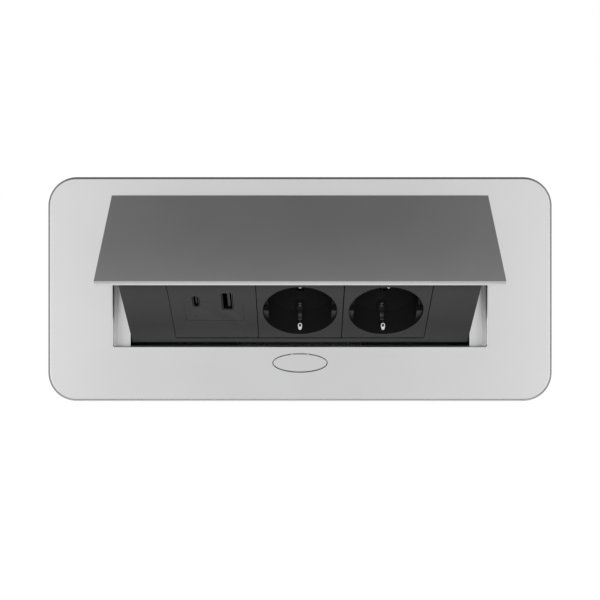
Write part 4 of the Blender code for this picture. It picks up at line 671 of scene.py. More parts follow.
def softened(name, node, width, segments=3):
    """A copy of a CAD node with its facets merged back into whole faces and its edges rounded."""
    shape = bmesh.new()
    shape.from_mesh(frame["nodes"][node].data)
    bmesh.ops.remove_doubles(shape, verts=shape.verts, dist=0.000002)
    bmesh.ops.dissolve_limit(shape, angle_limit=math.radians(1.0), verts=shape.verts, edges=shape.edges)
    mesh = bpy.data.meshes.new(name)
    shape.to_mesh(mesh)
    shape.free()
    piece = bpy.data.objects.new(name, mesh)
    bpy.context.scene.collection.objects.link(piece)
    bevel = piece.modifiers.new("edges", "BEVEL")
    bevel.width = width
    bevel.segments = segments
    bevel.limit_method = "ANGLE"
    bevel.angle_limit = math.radians(35)
    bevel.use_clamp_overlap = True
    bevel.harden_normals = False
    return piece


def dress(name, node, width, finish, body, segments=3):
    """A softened copy in a finish, riding on its body in place of the node."""
    piece = softened(name, node, width, segments)
    piece.data.shade_smooth()
    piece.data.set_sharp_from_angle(angle=math.radians(60))
    piece.data.materials.clear()
    piece.data.materials.append(finish)
    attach(piece, body)
    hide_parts(node)
    return piece


black = moulded_black("black_plastic")
dress("bezel_face", "bezel", 0.00015, black, "lid_unit")
dress("rear_shell_moulding", "rear_shell", 0.0003, black, "lid_unit")


# Two earthed socket inserts: square plates moulded in the same black plastic, each with a round cup. Guide
# ears stand at both sides with a groove between them, and the floor has holes for pins and contacts.
SOCKETS = (0.0, MODULE)
PLATE_THICKNESS = 0.0025
PLATE_HALF = MODULE / 2 - 0.00015
PLATE_EDGE = 0.0002
RECESS_RADIUS = 0.0195
RECESS_DEPTH = 0.0175
CUP_RADIUS = 0.0212
CUP_FLOOR = 0.002
CUP_BACK = 0.0195
CUP_EDGE = 0.0004
FLOOR_ROUND = 0.0004
EAR_FACE = 0.0166
EAR_NOTCH = 0.0025
EAR_DROP = 0.0024
EAR_SLOPE = 0.0003
RIM_EDGE = 0.00012
SHOE_WALL_DEPTH = 0.0150
SHOE_END_DEPTH = 0.0163
SHOE_REACH = 0.0056
SHOE_HALF = 0.0015
SHOE_END_RADIUS = 0.0021
SHOE_ROOT = 0.0005
CENTRE_HOLE = 0.0018
PIN_SPACING = 0.019
PIN_HOLE = 0.0027
PIN_HOLE_END = 0.020
PIN_FLARE = 0.0005
PIN_FLARE_RISE = 0.0002
CLIP_ROOT = 0.00125
CLIP_STEP = 0.0028
CLIP_END = 0.0055
CLIP_THICKNESS = 0.002
CLIP_CATCH = 0.0009
CLIP_HALF = 0.006
STRAP_WIDTH = 0.0024
STRAP_SLOT_INSET = 0.0011
STRAP_SLOT_HALF = 0.00065
STRAP_SLOT_DEPTHS = (0.0140, 0.021)


def ear_angles():
    """Angles round the recess, closer at the ears' corners and at the plate's."""
    groove = math.asin(EAR_NOTCH / RECESS_RADIUS)
    step = math.atan2(EAR_NOTCH, EAR_FACE)
    edge = math.acos(EAR_FACE / RECESS_RADIUS)
    eighth = np.pi / 4
    spans = [(-groove, groove, 6), (step, edge, 6), (edge, eighth, 4)]
    spans += [(eighth, 3 * eighth, 30), (3 * eighth, np.pi - edge, 4)]
    half = [np.linspace(a, b, n + 1)[(0 if i < 2 else 1):] for i, (a, b, n) in enumerate(spans)]
    half.append(np.linspace(np.pi - edge, np.pi - step, 7)[1:])
    half = np.concatenate(half)
    return np.concatenate([half, half + np.pi])


angles = ear_angles()
sideways = np.abs(np.cos(angles))
upright = np.abs(np.sin(angles))
in_groove = upright <= EAR_NOTCH / RECESS_RADIUS * 1.0001
eared = np.where(in_groove, RECESS_RADIUS, np.minimum(RECESS_RADIUS, EAR_FACE / np.maximum(sideways, 0.01)))
squared = 1.0 / np.maximum(sideways, upright)


def insert_ring(x, depth, radius):
    """Points at a radius that may change with the angle, at a depth behind the face."""
    loop = np.stack([x + radius * np.cos(angles), MODULE_Z + radius * np.sin(angles)], axis=1)
    return raised(loop, FACE_Y + depth, "Y")


def insert_shape(x):
    """One closed skin: out over the cup's back and side, round the plate, over its face, down the recess
    and in over the floor to the screw hole, where the last ring meets the first."""
    ones = np.ones_like(angles)
    back = [(CUP_BACK, CENTRE_HOLE), (CUP_BACK, CUP_RADIUS - CUP_EDGE)]
    back += [(CUP_BACK - CUP_EDGE, CUP_RADIUS), (PLATE_THICKNESS, CUP_RADIUS)]
    rings = [(depth, radius * ones) for depth, radius in back]
    edge = [(PLATE_THICKNESS, PLATE_HALF), (PLATE_EDGE, PLATE_HALF), (0.0, PLATE_HALF - PLATE_EDGE)]
    rings += [(depth, half * squared) for depth, half in eased(edge, PLATE_EDGE)]
    rim = [(0.0, RECESS_RADIUS + 6 * RIM_EDGE), (0.0, RECESS_RADIUS), (EAR_DROP, RECESS_RADIUS)]
    rings += [(depth, radius * ones) for depth, radius in eased(rim, RIM_EDGE, 4)]
    rings += [(EAR_DROP + EAR_SLOPE * s, eared * s + RECESS_RADIUS * (1 - s)) for s in (0.25, 0.5, 0.75, 1.0)]
    rings += [(RECESS_DEPTH - FLOOR_ROUND, eared), (RECESS_DEPTH - RIM_EDGE, eared - RIM_EDGE)]
    rings += [(RECESS_DEPTH, eared - FLOOR_ROUND), (RECESS_DEPTH, 0.5 * eared)]
    rings += [(RECESS_DEPTH, CENTRE_HOLE * ones)]
    return grid([insert_ring(x, depth, radius) for depth, radius in rings], closed=True)


def clip_shape(x, side):
    """A moulded clip that catches behind the bezel."""
    half = PLATE_HALF
    outline = [
        (FACE_Y + CLIP_ROOT, MODULE_Z + side * (half - CLIP_THICKNESS)),
        (FACE_Y + CLIP_ROOT, MODULE_Z + side * (half - GAP)),
        (FACE_Y + CLIP_STEP, MODULE_Z + side * (half - GAP)),
        (FACE_Y + CLIP_STEP, MODULE_Z + side * (half + CLIP_CATCH)),
        (FACE_Y + CLIP_END, MODULE_Z + side * (half - CLIP_THICKNESS / 2)),
        (FACE_Y + CLIP_END, MODULE_Z + side * (half - CLIP_THICKNESS)),
    ]
    return grid([raised(outline, x - CLIP_HALF, "X"), raised(outline, x + CLIP_HALF, "X")])


def shoe_shape(x, side):
    """The moulded shoe over a contact's foot: a ramp from the recess wall to a round end on the floor."""
    t = np.linspace(np.pi, 0.0, 13)
    across = np.concatenate([[SHOE_HALF], -SHOE_END_RADIUS * np.cos(t), [-SHOE_HALF]])
    inset = np.concatenate([[-SHOE_ROOT], SHOE_REACH + SHOE_END_RADIUS * np.sin(t), [-SHOE_ROOT]])
    top = SHOE_WALL_DEPTH + (SHOE_END_DEPTH - SHOE_WALL_DEPTH) * inset / (SHOE_REACH + SHOE_END_RADIUS)
    under = np.full_like(top, RECESS_DEPTH + SHOE_ROOT)
    height = MODULE_Z + side * (RECESS_RADIUS - inset)
    return grid([np.stack([x + across, FACE_Y + depth, height], axis=1) for depth in (top, under)])


black_insert = moulded_black("black_insert", recessed=True)
pin_hole = [
    (PIN_HOLE, FACE_Y + PIN_HOLE_END),
    (PIN_HOLE, FACE_Y + RECESS_DEPTH + GAP),
    (PIN_HOLE + PIN_FLARE, FACE_Y + RECESS_DEPTH - PIN_FLARE_RISE),
]
for number, x in enumerate(SOCKETS, 1):
    insert = draw(f"socket_insert_{number}", insert_shape(x))
    carve(insert, "UNION", clip_shape(x, 1), clip_shape(x, -1))
    for side in (-1, 1):
        pin = turned(pin_hole, (x + side * PIN_SPACING / 2, MODULE_Z), "Y", 40)
        slot_z = MODULE_Z + side * (RECESS_RADIUS - STRAP_SLOT_INSET)
        half = STRAP_WIDTH / 2 + GAP
        low = (x - half, FACE_Y + STRAP_SLOT_DEPTHS[0], slot_z - STRAP_SLOT_HALF)
        high = (x + half, FACE_Y + STRAP_SLOT_DEPTHS[1], slot_z + STRAP_SLOT_HALF)
        carve(insert, "UNION", shoe_shape(x, side))
        carve(insert, "DIFFERENCE", pin, block(low, high))
    fit(insert, black_insert, "lid_unit", f"schuko_insert_{number}", smooth=38)


# Screws: zinc-plated steel with a rolled thread, a domed head and a cross recess. Each holds a tab, bracket,
# arm, housing, shell or contact strap to the piece in front of it.
TAB_Z = -BOSS_DEPTH - GAP
UNDER_TAB = 0.0013
UNDER_BRACKET = 0.0023
SCREW_RADIUS = 0.0015
SCREW_PITCH = 0.00055
SCREW_THREAD = 0.00022
SCREW_RUNOUT = 0.0005
SCREW_HEAD = 0.0019
HEAD_RADIUS = 0.0028
LID_HEAD_RADIUS = 0.0045
LID_SCREW_REACH = 0.0034
CENTRE_HEAD_RADIUS = 0.0022
CENTRE_SCREW_REACH = 0.00655
CROSS_SHARES = ((1.0, 1.0), (0.94, 0.92), (0.7, 0.42), (0.2, 0.3))
ARM_OUTER_X = 0.0891
ARM_SCREW_Y, ARM_SCREW_Z = PIVOT_Y - 0.0375, PIVOT_Z - 0.015
ZINC_COLOUR = (0.66, 0.655, 0.64)


def plated_steel(name, slot, colour, roughness, metallic=1.0, scale=3500.0, lift=0.000006, mottle=0.08):
    """Metal with a fine rolled grain, a little mottling in its colour and a gloss that varies with it."""
    made, wire, shader = blank_finish(name, slot, colour, roughness, metallic)
    spot = wire.node("TexCoord", output="Object")
    grain = wire.node("TexNoise", {}, {"Vector": spot, "Scale": scale, "Detail": 2.0})
    cloud = wire.node("TexNoise", {}, {"Vector": spot, "Scale": 120.0, "Detail": 4.0})
    pale, deep = tuple((1 + mottle) * c for c in colour), tuple((1 - mottle) * c for c in colour)
    feed(shader, "Base Color", cloud.blend(deep, pale))
    feed(shader, "Roughness", roughness - 0.05 + cloud * 0.1)
    bumped(shader, grain, lift, 0.5)
    return made


zinc = plated_steel("bright_steel", "bright_steel", ZINC_COLOUR, 0.26)
blackened = plated_steel("blackened_steel", "bright_steel", (0.035, 0.035, 0.036), 0.35)


def recess_angles(half_width, reach):
    """Angles round a head, closer where the arms of its cross recess end."""
    arm = math.atan(half_width / reach)
    quarter = np.concatenate([[-arm, 0.0], np.linspace(arm, np.pi / 2 - arm, 9)[:-1]])
    return np.concatenate([quarter + k * np.pi / 2 for k in range(4)])


def threaded(radius, start, end, pitch, depth, angle):
    """Rings of a screw thread: the radius falls by depth times |2 f - 1|, where f is the fractional part of
    height over pitch less angle over a full turn. It tapers over the first turn and a half."""
    heights = np.linspace(start, end, int(abs(end - start) / pitch * 7) + 2)
    phase = heights[:, None] / pitch - angle[None] / (2 * np.pi)
    valley = np.abs(2 * (phase - np.floor(phase)) - 1)
    taper = np.minimum(1.0, 0.6 + 0.4 * np.abs(heights - start) / (1.5 * pitch))[:, None]
    return list(zip((radius - depth * valley) * taper, heights))


def screw_shape(place, axis, way, head_radius=HEAD_RADIUS, reach=0.0055):
    """A screw whose head seats at a place: thread, shank, underside, domed head and its cross recess."""
    half_width, arm_reach = head_radius * 0.13, head_radius * 0.55
    angle = recess_angles(half_width, arm_reach)
    folded = np.abs((angle + np.pi / 4) % (np.pi / 2) - np.pi / 4)
    in_arm = folded <= math.atan(half_width / arm_reach) + 1e-6
    cross = np.where(in_arm, arm_reach / np.cos(folded), half_width / np.maximum(np.sin(folded), 0.05))
    ones = np.ones_like(angle)
    rings = threaded(SCREW_RADIUS, reach, SCREW_RUNOUT, SCREW_PITCH, SCREW_THREAD, angle)
    head = eased([
        (SCREW_RADIUS, 0.0004),
        (SCREW_RADIUS, 0.0),
        (head_radius, 0.0),
        (head_radius, -SCREW_HEAD * 0.45),
        (head_radius * 0.8, -SCREW_HEAD * 0.9),
        (head_radius * 0.6, -SCREW_HEAD),
    ], 0.0003, 3)
    rings += [(radius * ones, height) for radius, height in head]
    rings += [(cross * wide, -SCREW_HEAD * high) for wide, high in CROSS_SHARES]
    index = "XYZ".index(axis)
    centre = [value for i, value in enumerate(place) if i != index]
    loops = []
    for radius, height in rings:
        loop = np.stack([centre[0] + radius * np.cos(angle), centre[1] + radius * np.sin(angle)], axis=1)
        loops.append(raised(loop, place[index] + way * height, axis))
    return grid(loops)


deck_screws = [(f"tub_screw_{i}", (x, y, TAB_Z - UNDER_TAB)) for i, (x, y) in enumerate(BOSS_PLACES[:4], 1)]
for kind, places in (("bracket", BOSS_PLACES[4:6]), ("housing", BOSS_PLACES[6:])):
    for name, (x, y) in zip(("left", "right"), places):
        deck_screws.append((f"{kind}_screw_{name}", (x, y, TAB_Z - UNDER_BRACKET)))
for node, place in deck_screws:
    fit(draw(f"{node}_threaded", screw_shape(place, "Z", 1)), zinc, "root", node)
for i, (x, y) in enumerate(LID_SCREW_PLACES, 1):
    shape = screw_shape((x, y, BOX_TOP - SHELL_WALL - GAP), "Z", 1, LID_HEAD_RADIUS, LID_SCREW_REACH)
    fit(draw(f"lid_screw_{i}_threaded", shape), zinc, "lid_unit", f"lid_screw_{i}")
for name, side in (("left", -1), ("right", 1)):
    shape = screw_shape((side * ARM_OUTER_X, ARM_SCREW_Y, ARM_SCREW_Z), "X", -side)
    fit(draw(f"arm_screw_{name}_threaded", shape), zinc, "lid_unit", f"arm_screw_{name}")
for i, x in enumerate(SOCKETS, 1):
    place = (x, FACE_Y + RECESS_DEPTH - GAP, MODULE_Z)
    shape = screw_shape(place, "Y", 1, CENTRE_HEAD_RADIUS, CENTRE_SCREW_REACH)
    fit(draw(f"centre_screw_{i}_threaded", shape), blackened, "lid_unit", f"centre_screw_{i}")


# Earth straps: one bent strip of nickel-plated spring bronze in each socket. Its two contacts stand proud of
# the recess wall at the top and the bottom, each with an eye where it bends. A bridge joins them behind.
STRAP_THICKNESS = 0.0007
STRAP_TIP = 0.0004
STRAP_RINGS = 90
STRAP_EYE_DEPTH = 0.00445
STRAP_EYE_HOLE = 0.00066
STRAP_EYE_INSET = 0.0021
STRAP_LEAD = (0.0004, 0.0010)
STRAP_PATH = (
    (0.0026, 0.0008),
    (0.0060, 0.0031),
    (0.0079, 0.0015),
    (0.0094, 0.0011),
    (0.0201, 0.0011),
)
STRAP_WIDTHS = (
    (0.0, 0.0016),
    (0.0032, 0.0016),
    (0.0039, 0.0021),
    (0.0045, 0.0023),
    (0.0051, 0.0020),
    (0.0058, 0.0010),
    (0.0080, 0.0010),
    (0.0094, 0.0022),
    (0.0201, 0.0022),
)
BRIDGE_DEPTH = RECESS_DEPTH + CUP_FLOOR + GAP
BRIDGE_HALF = 0.004
RIVET = ((0.0018, 0.0008), (0.0018, -0.0001), (0.0015, -0.0005), (0.0008, -0.0006))


def strap_shape(x, side):
    """A strip carried along its path in even steps: at each point a rounded section lies across the path's
    normal n, at (x + a, path + b n). It widens at the eye, narrows where it bends, and ends half round."""
    bends = eased((STRAP_LEAD, *STRAP_PATH) if side > 0 else STRAP_PATH, 0.0008, 6)
    reach = np.concatenate([[0.0], np.cumsum(np.linalg.norm(np.diff(bends, axis=0), axis=1))])
    steps = np.linspace(0.0, reach[-1], STRAP_RINGS)
    path = np.stack([np.interp(steps, reach, bends[:, i]) for i in (0, 1)], axis=1)
    along = np.gradient(path, axis=0)
    along /= np.linalg.norm(along, axis=1)[:, None]
    normal = np.stack([-along[:, 1], along[:, 0]], axis=1)
    depth = path[:, 0]
    width = np.interp(depth, *np.transpose(STRAP_WIDTHS))
    from_end = np.clip((depth - depth[0]) / STRAP_TIP, 0.0, 1.0)
    width = width * np.sqrt(np.clip(1 - (1 - from_end) ** 2, 0.12, 1.0))
    section = rounded_loop(1.0, STRAP_THICKNESS, 0.00015, 3)
    across = section[:, 0][None] * width[:, None]
    spot = path[:, None] + section[:, 1][None, :, None] * normal[:, None]
    height = MODULE_Z + side * (RECESS_RADIUS - spot[..., 1])
    return grid(np.stack([x + across, FACE_Y + spot[..., 0], height], axis=-1))


nickel = plated_steel("nickel_strip", "bright_steel", (0.78, 0.77, 0.75), 0.2)
dulled = plated_steel("dulled_steel", "bright_steel", (0.09, 0.09, 0.09), 0.3)
for i, x in enumerate(SOCKETS, 1):
    end = RECESS_RADIUS - STRAP_SLOT_INSET + STRAP_THICKNESS / 2
    front = FACE_Y + BRIDGE_DEPTH
    low = (x - BRIDGE_HALF, front, MODULE_Z - end)
    high = (x + BRIDGE_HALF, front + STRAP_THICKNESS, MODULE_Z + end)
    strap = draw(f"earth_strap_{i}_bent", block(low, high))
    carve(strap, "UNION", strap_shape(x, 1), strap_shape(x, -1))
    hole = [(CENTRE_HOLE, front - OVERCUT), (CENTRE_HOLE, front + 2 * OVERCUT)]
    carve(strap, "DIFFERENCE", turned(hole, (x, MODULE_Z), "Y", 32))
    for side in (-1, 1):
        middle = MODULE_Z + side * (RECESS_RADIUS - STRAP_EYE_INSET)
        eye = [(STRAP_EYE_HOLE, middle - OVERCUT), (STRAP_EYE_HOLE, middle + OVERCUT)]
        carve(strap, "DIFFERENCE", turned(eye, (x, FACE_Y + STRAP_EYE_DEPTH), "Z", 24))
        foot = (x, MODULE_Z + side * (RECESS_RADIUS - SHOE_REACH))
        deep = FACE_Y + SHOE_END_DEPTH
        rivet = [(radius, deep + rise) for radius, rise in RIVET]
        fit(draw(f"strap_rivet_{i}_{side + 1}", turned(rivet, foot, "Y", 32)), dulled, "lid_unit")
    fit(strap, nickel, "lid_unit", f"earth_strap_{i}")


# The charging insert: a plate with its case behind it, in the same black plastic. Each port has a drawn steel
# shell, a moulded tongue and contacts. A fine printed line with two plain bolts marks it for charging.
USB_X = -MODULE
USB_Z = MODULE_Z + 0.008
PORTS = (
    ("usb_a", 0.00745, 0.0054, 0.0134, 0.0007, 0.0014, 0.00075, 4, 0.0011),
    ("usb_c", -0.0087, 0.0032, 0.0089, 0.00158, 0.0007, 0.0, 12, 0.00028),
)
PORT_DEPTH = 0.014
PORT_WALL = 0.0004
PORT_LIP = 0.00008
TONGUE_ROOT = 0.0025
TONGUE_SETBACK = 0.0012
TONGUE_MARGIN = 0.0012
CONTACT_PROUD = 0.00006
CONTACT_SUNK = 0.0001
CONTACT_SETBACK = 0.0006
CONTACT_SPREAD = 0.92
MARK_BOX = ((-0.0604, -0.0464), (-0.0293, -0.0307))
MARK_CORNER = 0.0018
MARK_LINE = 0.00036
MARK_PROUD = 0.00003
MARK_SUNK = 0.00002
MARK_GAP = 0.0006
BOLT_UNIT = 0.001
BOLT = ((0.0, -1.6), (0.35, -0.2), (-0.45, -0.2), (-0.1, 1.5), (-0.3, 0.25), (0.5, 0.25))
BOLT_PLACES = ((-0.0548, -0.0424), (-0.0395, -0.0420))

dress("usb_insert", "usb_module", 0.0002, black, "lid_unit")
port_steel = plated_steel("port_steel", "bright_steel", (0.10, 0.10, 0.103), 0.36)
tongue_grey = plated_steel("tongue_grey", "grey_plastic", (0.032, 0.032, 0.0325), 0.42, 0.0, 6000.0)
tongue_black = plated_steel("tongue_black", "black_plastic", (0.032, 0.032, 0.0325), 0.4, 0.0, 6000.0)
gilt = plated_steel("gilt", "brass", (0.83, 0.62, 0.28), 0.24)
for name, offset, length, width, corner, tongue, shift, contacts, contact_width in PORTS:
    centre = (USB_X + offset, USB_Z)

    def port_ring(grow, depth):
        """The port's outline moved out by grow, at a depth behind the face."""
        outline = rounded_loop(length + 2 * grow, width + 2 * grow, corner + grow, 8, centre)
        return raised(outline, FACE_Y + depth, "Y")

    wall = eased([
        (-PORT_WALL - 0.0004, PORT_DEPTH),
        (-PORT_WALL, PORT_DEPTH),
        (-PORT_WALL, PORT_WALL),
        (0.0, PORT_WALL),
        (0.0, PORT_WALL + PORT_DEPTH),
        (-PORT_WALL - 0.0004, PORT_WALL + PORT_DEPTH),
    ], PORT_LIP)
    shell = draw(f"{name}_drawn_shell", grid([port_ring(*spot) for spot in wall]))
    fit(shell, port_steel, "lid_unit", f"{name}_shell")
    middle = centre[0] + shift
    half_thick, half_wide = tongue / 2, width / 2 - TONGUE_MARGIN
    left, right = middle - half_thick, middle + half_thick
    low, high = USB_Z - half_wide, USB_Z + half_wide
    blade = [(left, low), (right, low), (right, high), (left, high)]
    front, back = FACE_Y + PORT_WALL + TONGUE_SETBACK, FACE_Y + PORT_DEPTH - PORT_WALL
    tongue_piece = draw(f"{name}_tongue_moulding", slab(blade, front, back, "Y", 0.00018))
    root = [port_ring(-PORT_WALL - GAP, PORT_DEPTH - setback) for setback in (TONGUE_ROOT, PORT_WALL)]
    carve(tongue_piece, "UNION", grid(root))
    fit(tongue_piece, tongue_grey if shift else tongue_black, "lid_unit", f"{name}_tongue")
    strips = []
    for k in range(contacts):
        pitch = (2 * half_wide - contact_width) / (contacts - 1) * CONTACT_SPREAD
        z = USB_Z + (k - (contacts - 1) / 2) * pitch
        low, high = z - contact_width / 2, z + contact_width / 2
        for face in ((-1,) if shift else (-1, 1)):
            near, far = sorted(middle + face * (half_thick + out) for out in (-CONTACT_SUNK, CONTACT_PROUD))
            strips.append(block((near, front + CONTACT_SETBACK, low), (far, back - TONGUE_ROOT, high)))
    fit(draw(f"{name}_contacts", *strips), gilt, "lid_unit")

line_low, line_high = MARK_BOX
middle = ((line_low[0] + line_high[0]) / 2, (line_low[1] + line_high[1]) / 2)
size = (line_high[0] - line_low[0], line_high[1] - line_low[1])


def line_ring(inset, depth):
    """The mark's outline moved in by the inset, at a depth behind the face."""
    outline = rounded_loop(size[0] - 2 * inset, size[1] - 2 * inset, MARK_CORNER - inset, 8, middle)
    return raised(outline, FACE_Y + depth, "Y")


line_section = ((0.0, MARK_SUNK), (0.0, -MARK_PROUD), (MARK_LINE, -MARK_PROUD), (MARK_LINE, MARK_SUNK))
mark = draw("charging_mark", grid([line_ring(*spot) for spot in line_section], closed=True))
for _, offset, length, width, *_ in PORTS:
    x, half = USB_X + offset, length / 2 + MARK_GAP
    low, high = (x - half, FACE_Y - OVERCUT, USB_Z - width), (x + half, FACE_Y + OVERCUT, USB_Z + width)
    carve(mark, "DIFFERENCE", block(low, high))
for x, z in BOLT_PLACES:
    outline = np.array(BOLT) * BOLT_UNIT + (x, z)
    carve(mark, "UNION", grid([raised(outline, FACE_Y + depth, "Y") for depth in (-MARK_PROUD, MARK_SUNK)]))
printed = plated_steel("printed_grey", "black_plastic", (0.021, 0.021, 0.0215), 0.4, 0.0, 6000.0)
fit(mark, printed, "lid_unit")


# The works behind the inserts: a grey block with brass sleeves on two rails, and the charging board in green.
grey = plated_steel("grey_plastic", "grey_plastic", (0.42, 0.42, 0.42), 0.45, 0.0, 6000.0, 0.00001, 0.04)
brass = plated_steel("brass", "brass", (0.78, 0.6, 0.3), 0.3)
BOARD_FRONT_Y = FACE_Y + 0.0147
BOARD_THICKNESS = 0.0016
CAN_CENTRES = ((-0.009, 0.010), (-0.009, 0.002), (0.008, -0.011))
CAN_RADIUS = 0.0028


def board_finish():
    """Green solder mask with paler copper runs below it, tinned pads, a black coil and bright-topped cans."""
    made, wire, shader = blank_finish("circuit_board", "circuit_board", (0.02, 0.12, 0.05), 0.38, 0.0)
    spot = shut_place(wire)
    parts = wire.node("SeparateXYZ", {}, {0: spot})
    x, y, z = parts.other("X") - USB_X, parts.other("Y") - BOARD_FRONT_Y, parts.other("Z") - MODULE_Z
    laid = {"Vector": spot, "Scale": 310.0, "Mortar Size": 0.05, "Brick Width": 1.7, "Row Height": 0.55}
    runs = wire.node("TexBrick", {"offset": 0.37}, laid, 1)
    green = runs.blend((0.016, 0.10, 0.042), (0.03, 0.19, 0.08))
    above = y.math("GREATER_THAN", y, BOARD_THICKNESS + 0.0001)
    tops = 0.0
    for cx, cz in CAN_CENTRES:
        square = (x - cx) * (x - cx) + (z - cz) * (z - cz)
        tops = square.math("LESS_THAN", square, (CAN_RADIUS * 0.86) ** 2) + tops
    body = tops.clamped().blend((0.012, 0.012, 0.014), (0.7, 0.7, 0.7))
    feed(shader, "Base Color", above.blend(green, body))
    grain = wire.node("TexNoise", {}, {"Vector": spot, "Scale": 1500.0, "Detail": 2.0})
    feed(shader, "Roughness", 0.3 + grain * 0.15)
    bumped(shader, grain, 0.000015, 0.4)
    return made


dress("contact_block_moulding", "contact_block", 0.0003, grey, "lid_unit")
for rail in ("live_rail", "neutral_rail"):
    dress(f"{rail}_pressing", rail, 0.0001, brass, "lid_unit", 2)
dress("charging_board", "usb_board", 0.00015, board_finish(), "lid_unit", 2)


# The tub: a box folded from black powder-coated sheet steel, with rounded bends, four tabs folded in for the
# screws, a hole for the inlet, one at each end for the clamp screw and two in the floor for the latch guide.
TUB_LENGTH, TUB_WIDTH, TUB_DEPTH = 0.216, 0.1064, 0.075
TUB_CORNER = 0.003
TUB_BEND = 0.0016
TUB_FLOOR_INSET = 0.006
TUB_LIP_EDGE = 0.0002
SHEET = 0.001
TUB_TOP = -FRAME_THICKNESS - GAP
TUB_INNER_X, TUB_INNER_Y = TUB_LENGTH / 2 - SHEET, TUB_WIDTH / 2 - SHEET
TAB_REACH = 0.0095
TAB_HALF = 0.005
CLAMP_SCREW_Z = -0.044
CLAMP_SCREW_RADIUS = 0.0025
GLAND_Y, GLAND_Z = 0.034, -0.056
GLAND_RADIUS = 0.008
GUIDE_PEGS = ((-0.0077, -0.037), (0.0077, -0.037))
GUIDE_PEG_HOLE = 0.0016
COAT_COLOUR = (0.046, 0.046, 0.048)


def powder_coat():
    """Black powder coat: the slight orange peel of a baked film, satin, and paler where it lies thin."""
    made, wire, shader = blank_finish("coated_steel", "coated_steel", COAT_COLOUR, 0.45, 0.0)
    spot = wire.node("TexCoord", output="Object")
    peel = wire.node("TexNoise", {}, {"Vector": spot, "Scale": 900.0, "Detail": 2.0, "Roughness": 0.4})
    speck = wire.node("TexNoise", {}, {"Vector": spot, "Scale": 4200.0, "Detail": 1.0})
    cloud = wire.node("TexNoise", {}, {"Vector": spot, "Scale": 22.0, "Detail": 4.0})
    deep, pale = tuple(0.88 * c for c in COAT_COLOUR), tuple(1.15 * c for c in COAT_COLOUR)
    feed(shader, "Base Color", cloud.blend(deep, pale))
    feed(shader, "Roughness", 0.38 + cloud * 0.08 + speck * 0.08)
    bumped(shader, peel * 0.7 + speck * 0.3, 0.00003, 0.6)
    return made


def tub_ring(inset, height):
    """The tub's outline moved in by the inset, at a height."""
    corner = max(TUB_CORNER - inset, 0.0004)
    return raised(rounded_loop(TUB_LENGTH - 2 * inset, TUB_WIDTH - 2 * inset, corner, 12), height)


coat = powder_coat()
lip_low = TUB_TOP - TUB_LIP_EDGE
outer = [(TUB_FLOOR_INSET, -TUB_DEPTH), (0.0, -TUB_DEPTH), (0.0, lip_low)]
lip = [(TUB_LIP_EDGE, TUB_TOP), (SHEET - TUB_LIP_EDGE, TUB_TOP)]
inner = [(SHEET, lip_low), (SHEET, -TUB_DEPTH + SHEET), (TUB_FLOOR_INSET, -TUB_DEPTH + SHEET)]
tub_section = [*eased(outer, TUB_BEND, 8), *lip, *eased(inner, TUB_BEND - SHEET, 6)]
tub = draw("folded_tub", grid([tub_ring(*spot) for spot in tub_section]))
for x, y in BOSS_PLACES[:4]:
    side = math.copysign(1, x)
    wall = sorted((side * (TUB_INNER_X - SHEET), side * (TUB_INNER_X + 2 * SHEET)))
    low, high = (wall[0], y - TAB_HALF - GAP, TAB_Z), (wall[1], y + TAB_HALF + GAP, TUB_TOP + OVERCUT)
    carve(tub, "DIFFERENCE", block(low, high))
    reach = sorted((side * (TUB_INNER_X - TAB_REACH), side * (TUB_INNER_X + SHEET / 2)))
    carve(tub, "UNION", block((reach[0], y - TAB_HALF, TAB_Z - SHEET), (reach[1], y + TAB_HALF, TAB_Z)))
    bore = [(BOSS_BORE, TAB_Z - 2 * SHEET), (BOSS_BORE, TAB_Z + SHEET)]
    carve(tub, "DIFFERENCE", turned(bore, (x, y), steps=28))
for side in (-1, 1):
    hole = [(CLAMP_SCREW_RADIUS + GAP, side * (TUB_INNER_X + past)) for past in (-SHEET, 2 * SHEET)]
    carve(tub, "DIFFERENCE", turned(hole, (0.0, CLAMP_SCREW_Z), "X", 32))
inlet = [(GLAND_RADIUS + GAP, -TUB_LENGTH / 2 - SHEET), (GLAND_RADIUS + GAP, -TUB_INNER_X + SHEET)]
carve(tub, "DIFFERENCE", turned(inlet, (GLAND_Y, GLAND_Z), "X", 48))
peg_hole = [(GUIDE_PEG_HOLE, -TUB_DEPTH - SHEET), (GUIDE_PEG_HOLE, -TUB_DEPTH + 2 * SHEET)]
for spot in GUIDE_PEGS:
    carve(tub, "DIFFERENCE", turned(peg_hole, spot, steps=24))
fit(tub, coat, "root", "tub")


# The cable gland: a nylon body with a hexagon, a fluted domed cap over a rubber seal, and a thread that a
# flat nut grips inside the tub.
GLAND_FACE_X = -TUB_LENGTH / 2 - GAP
GLAND_CAP_X = -0.121
GLAND_HEX_X = -0.1132
GLAND_NUT = (-0.1067, -0.1017)
GLAND_END_X = -0.1014
GLAND_BORE = 0.0042
GLAND_HEX = 0.0105
GLAND_DOME = 0.0088
SEAL_RADIUS = 0.0060
SEAL_END_X = -0.1165
SEAL_BACK_X = -0.1169
SEAL_FRONT_X = -0.1206
SEAL_MOUTH_X = -0.1200
SEAL_THROAT_X = -0.1195
SEAL_ROOM = 0.0001
SEAL_EDGE = 0.0004
NYLON_COLOUR = (0.03, 0.03, 0.031)
around = np.linspace(0.0, 2 * np.pi, 144, endpoint=False)


def hexagon(corner_radius, limit):
    """A hexagon's radius by angle: its apothem over the cosine of the angle from the nearest flat, cut off at
    a limit."""
    from_flat = (around + np.pi / 6) % (np.pi / 3) - np.pi / 6
    return np.minimum(corner_radius * math.cos(np.pi / 6) / np.cos(from_flat), limit)


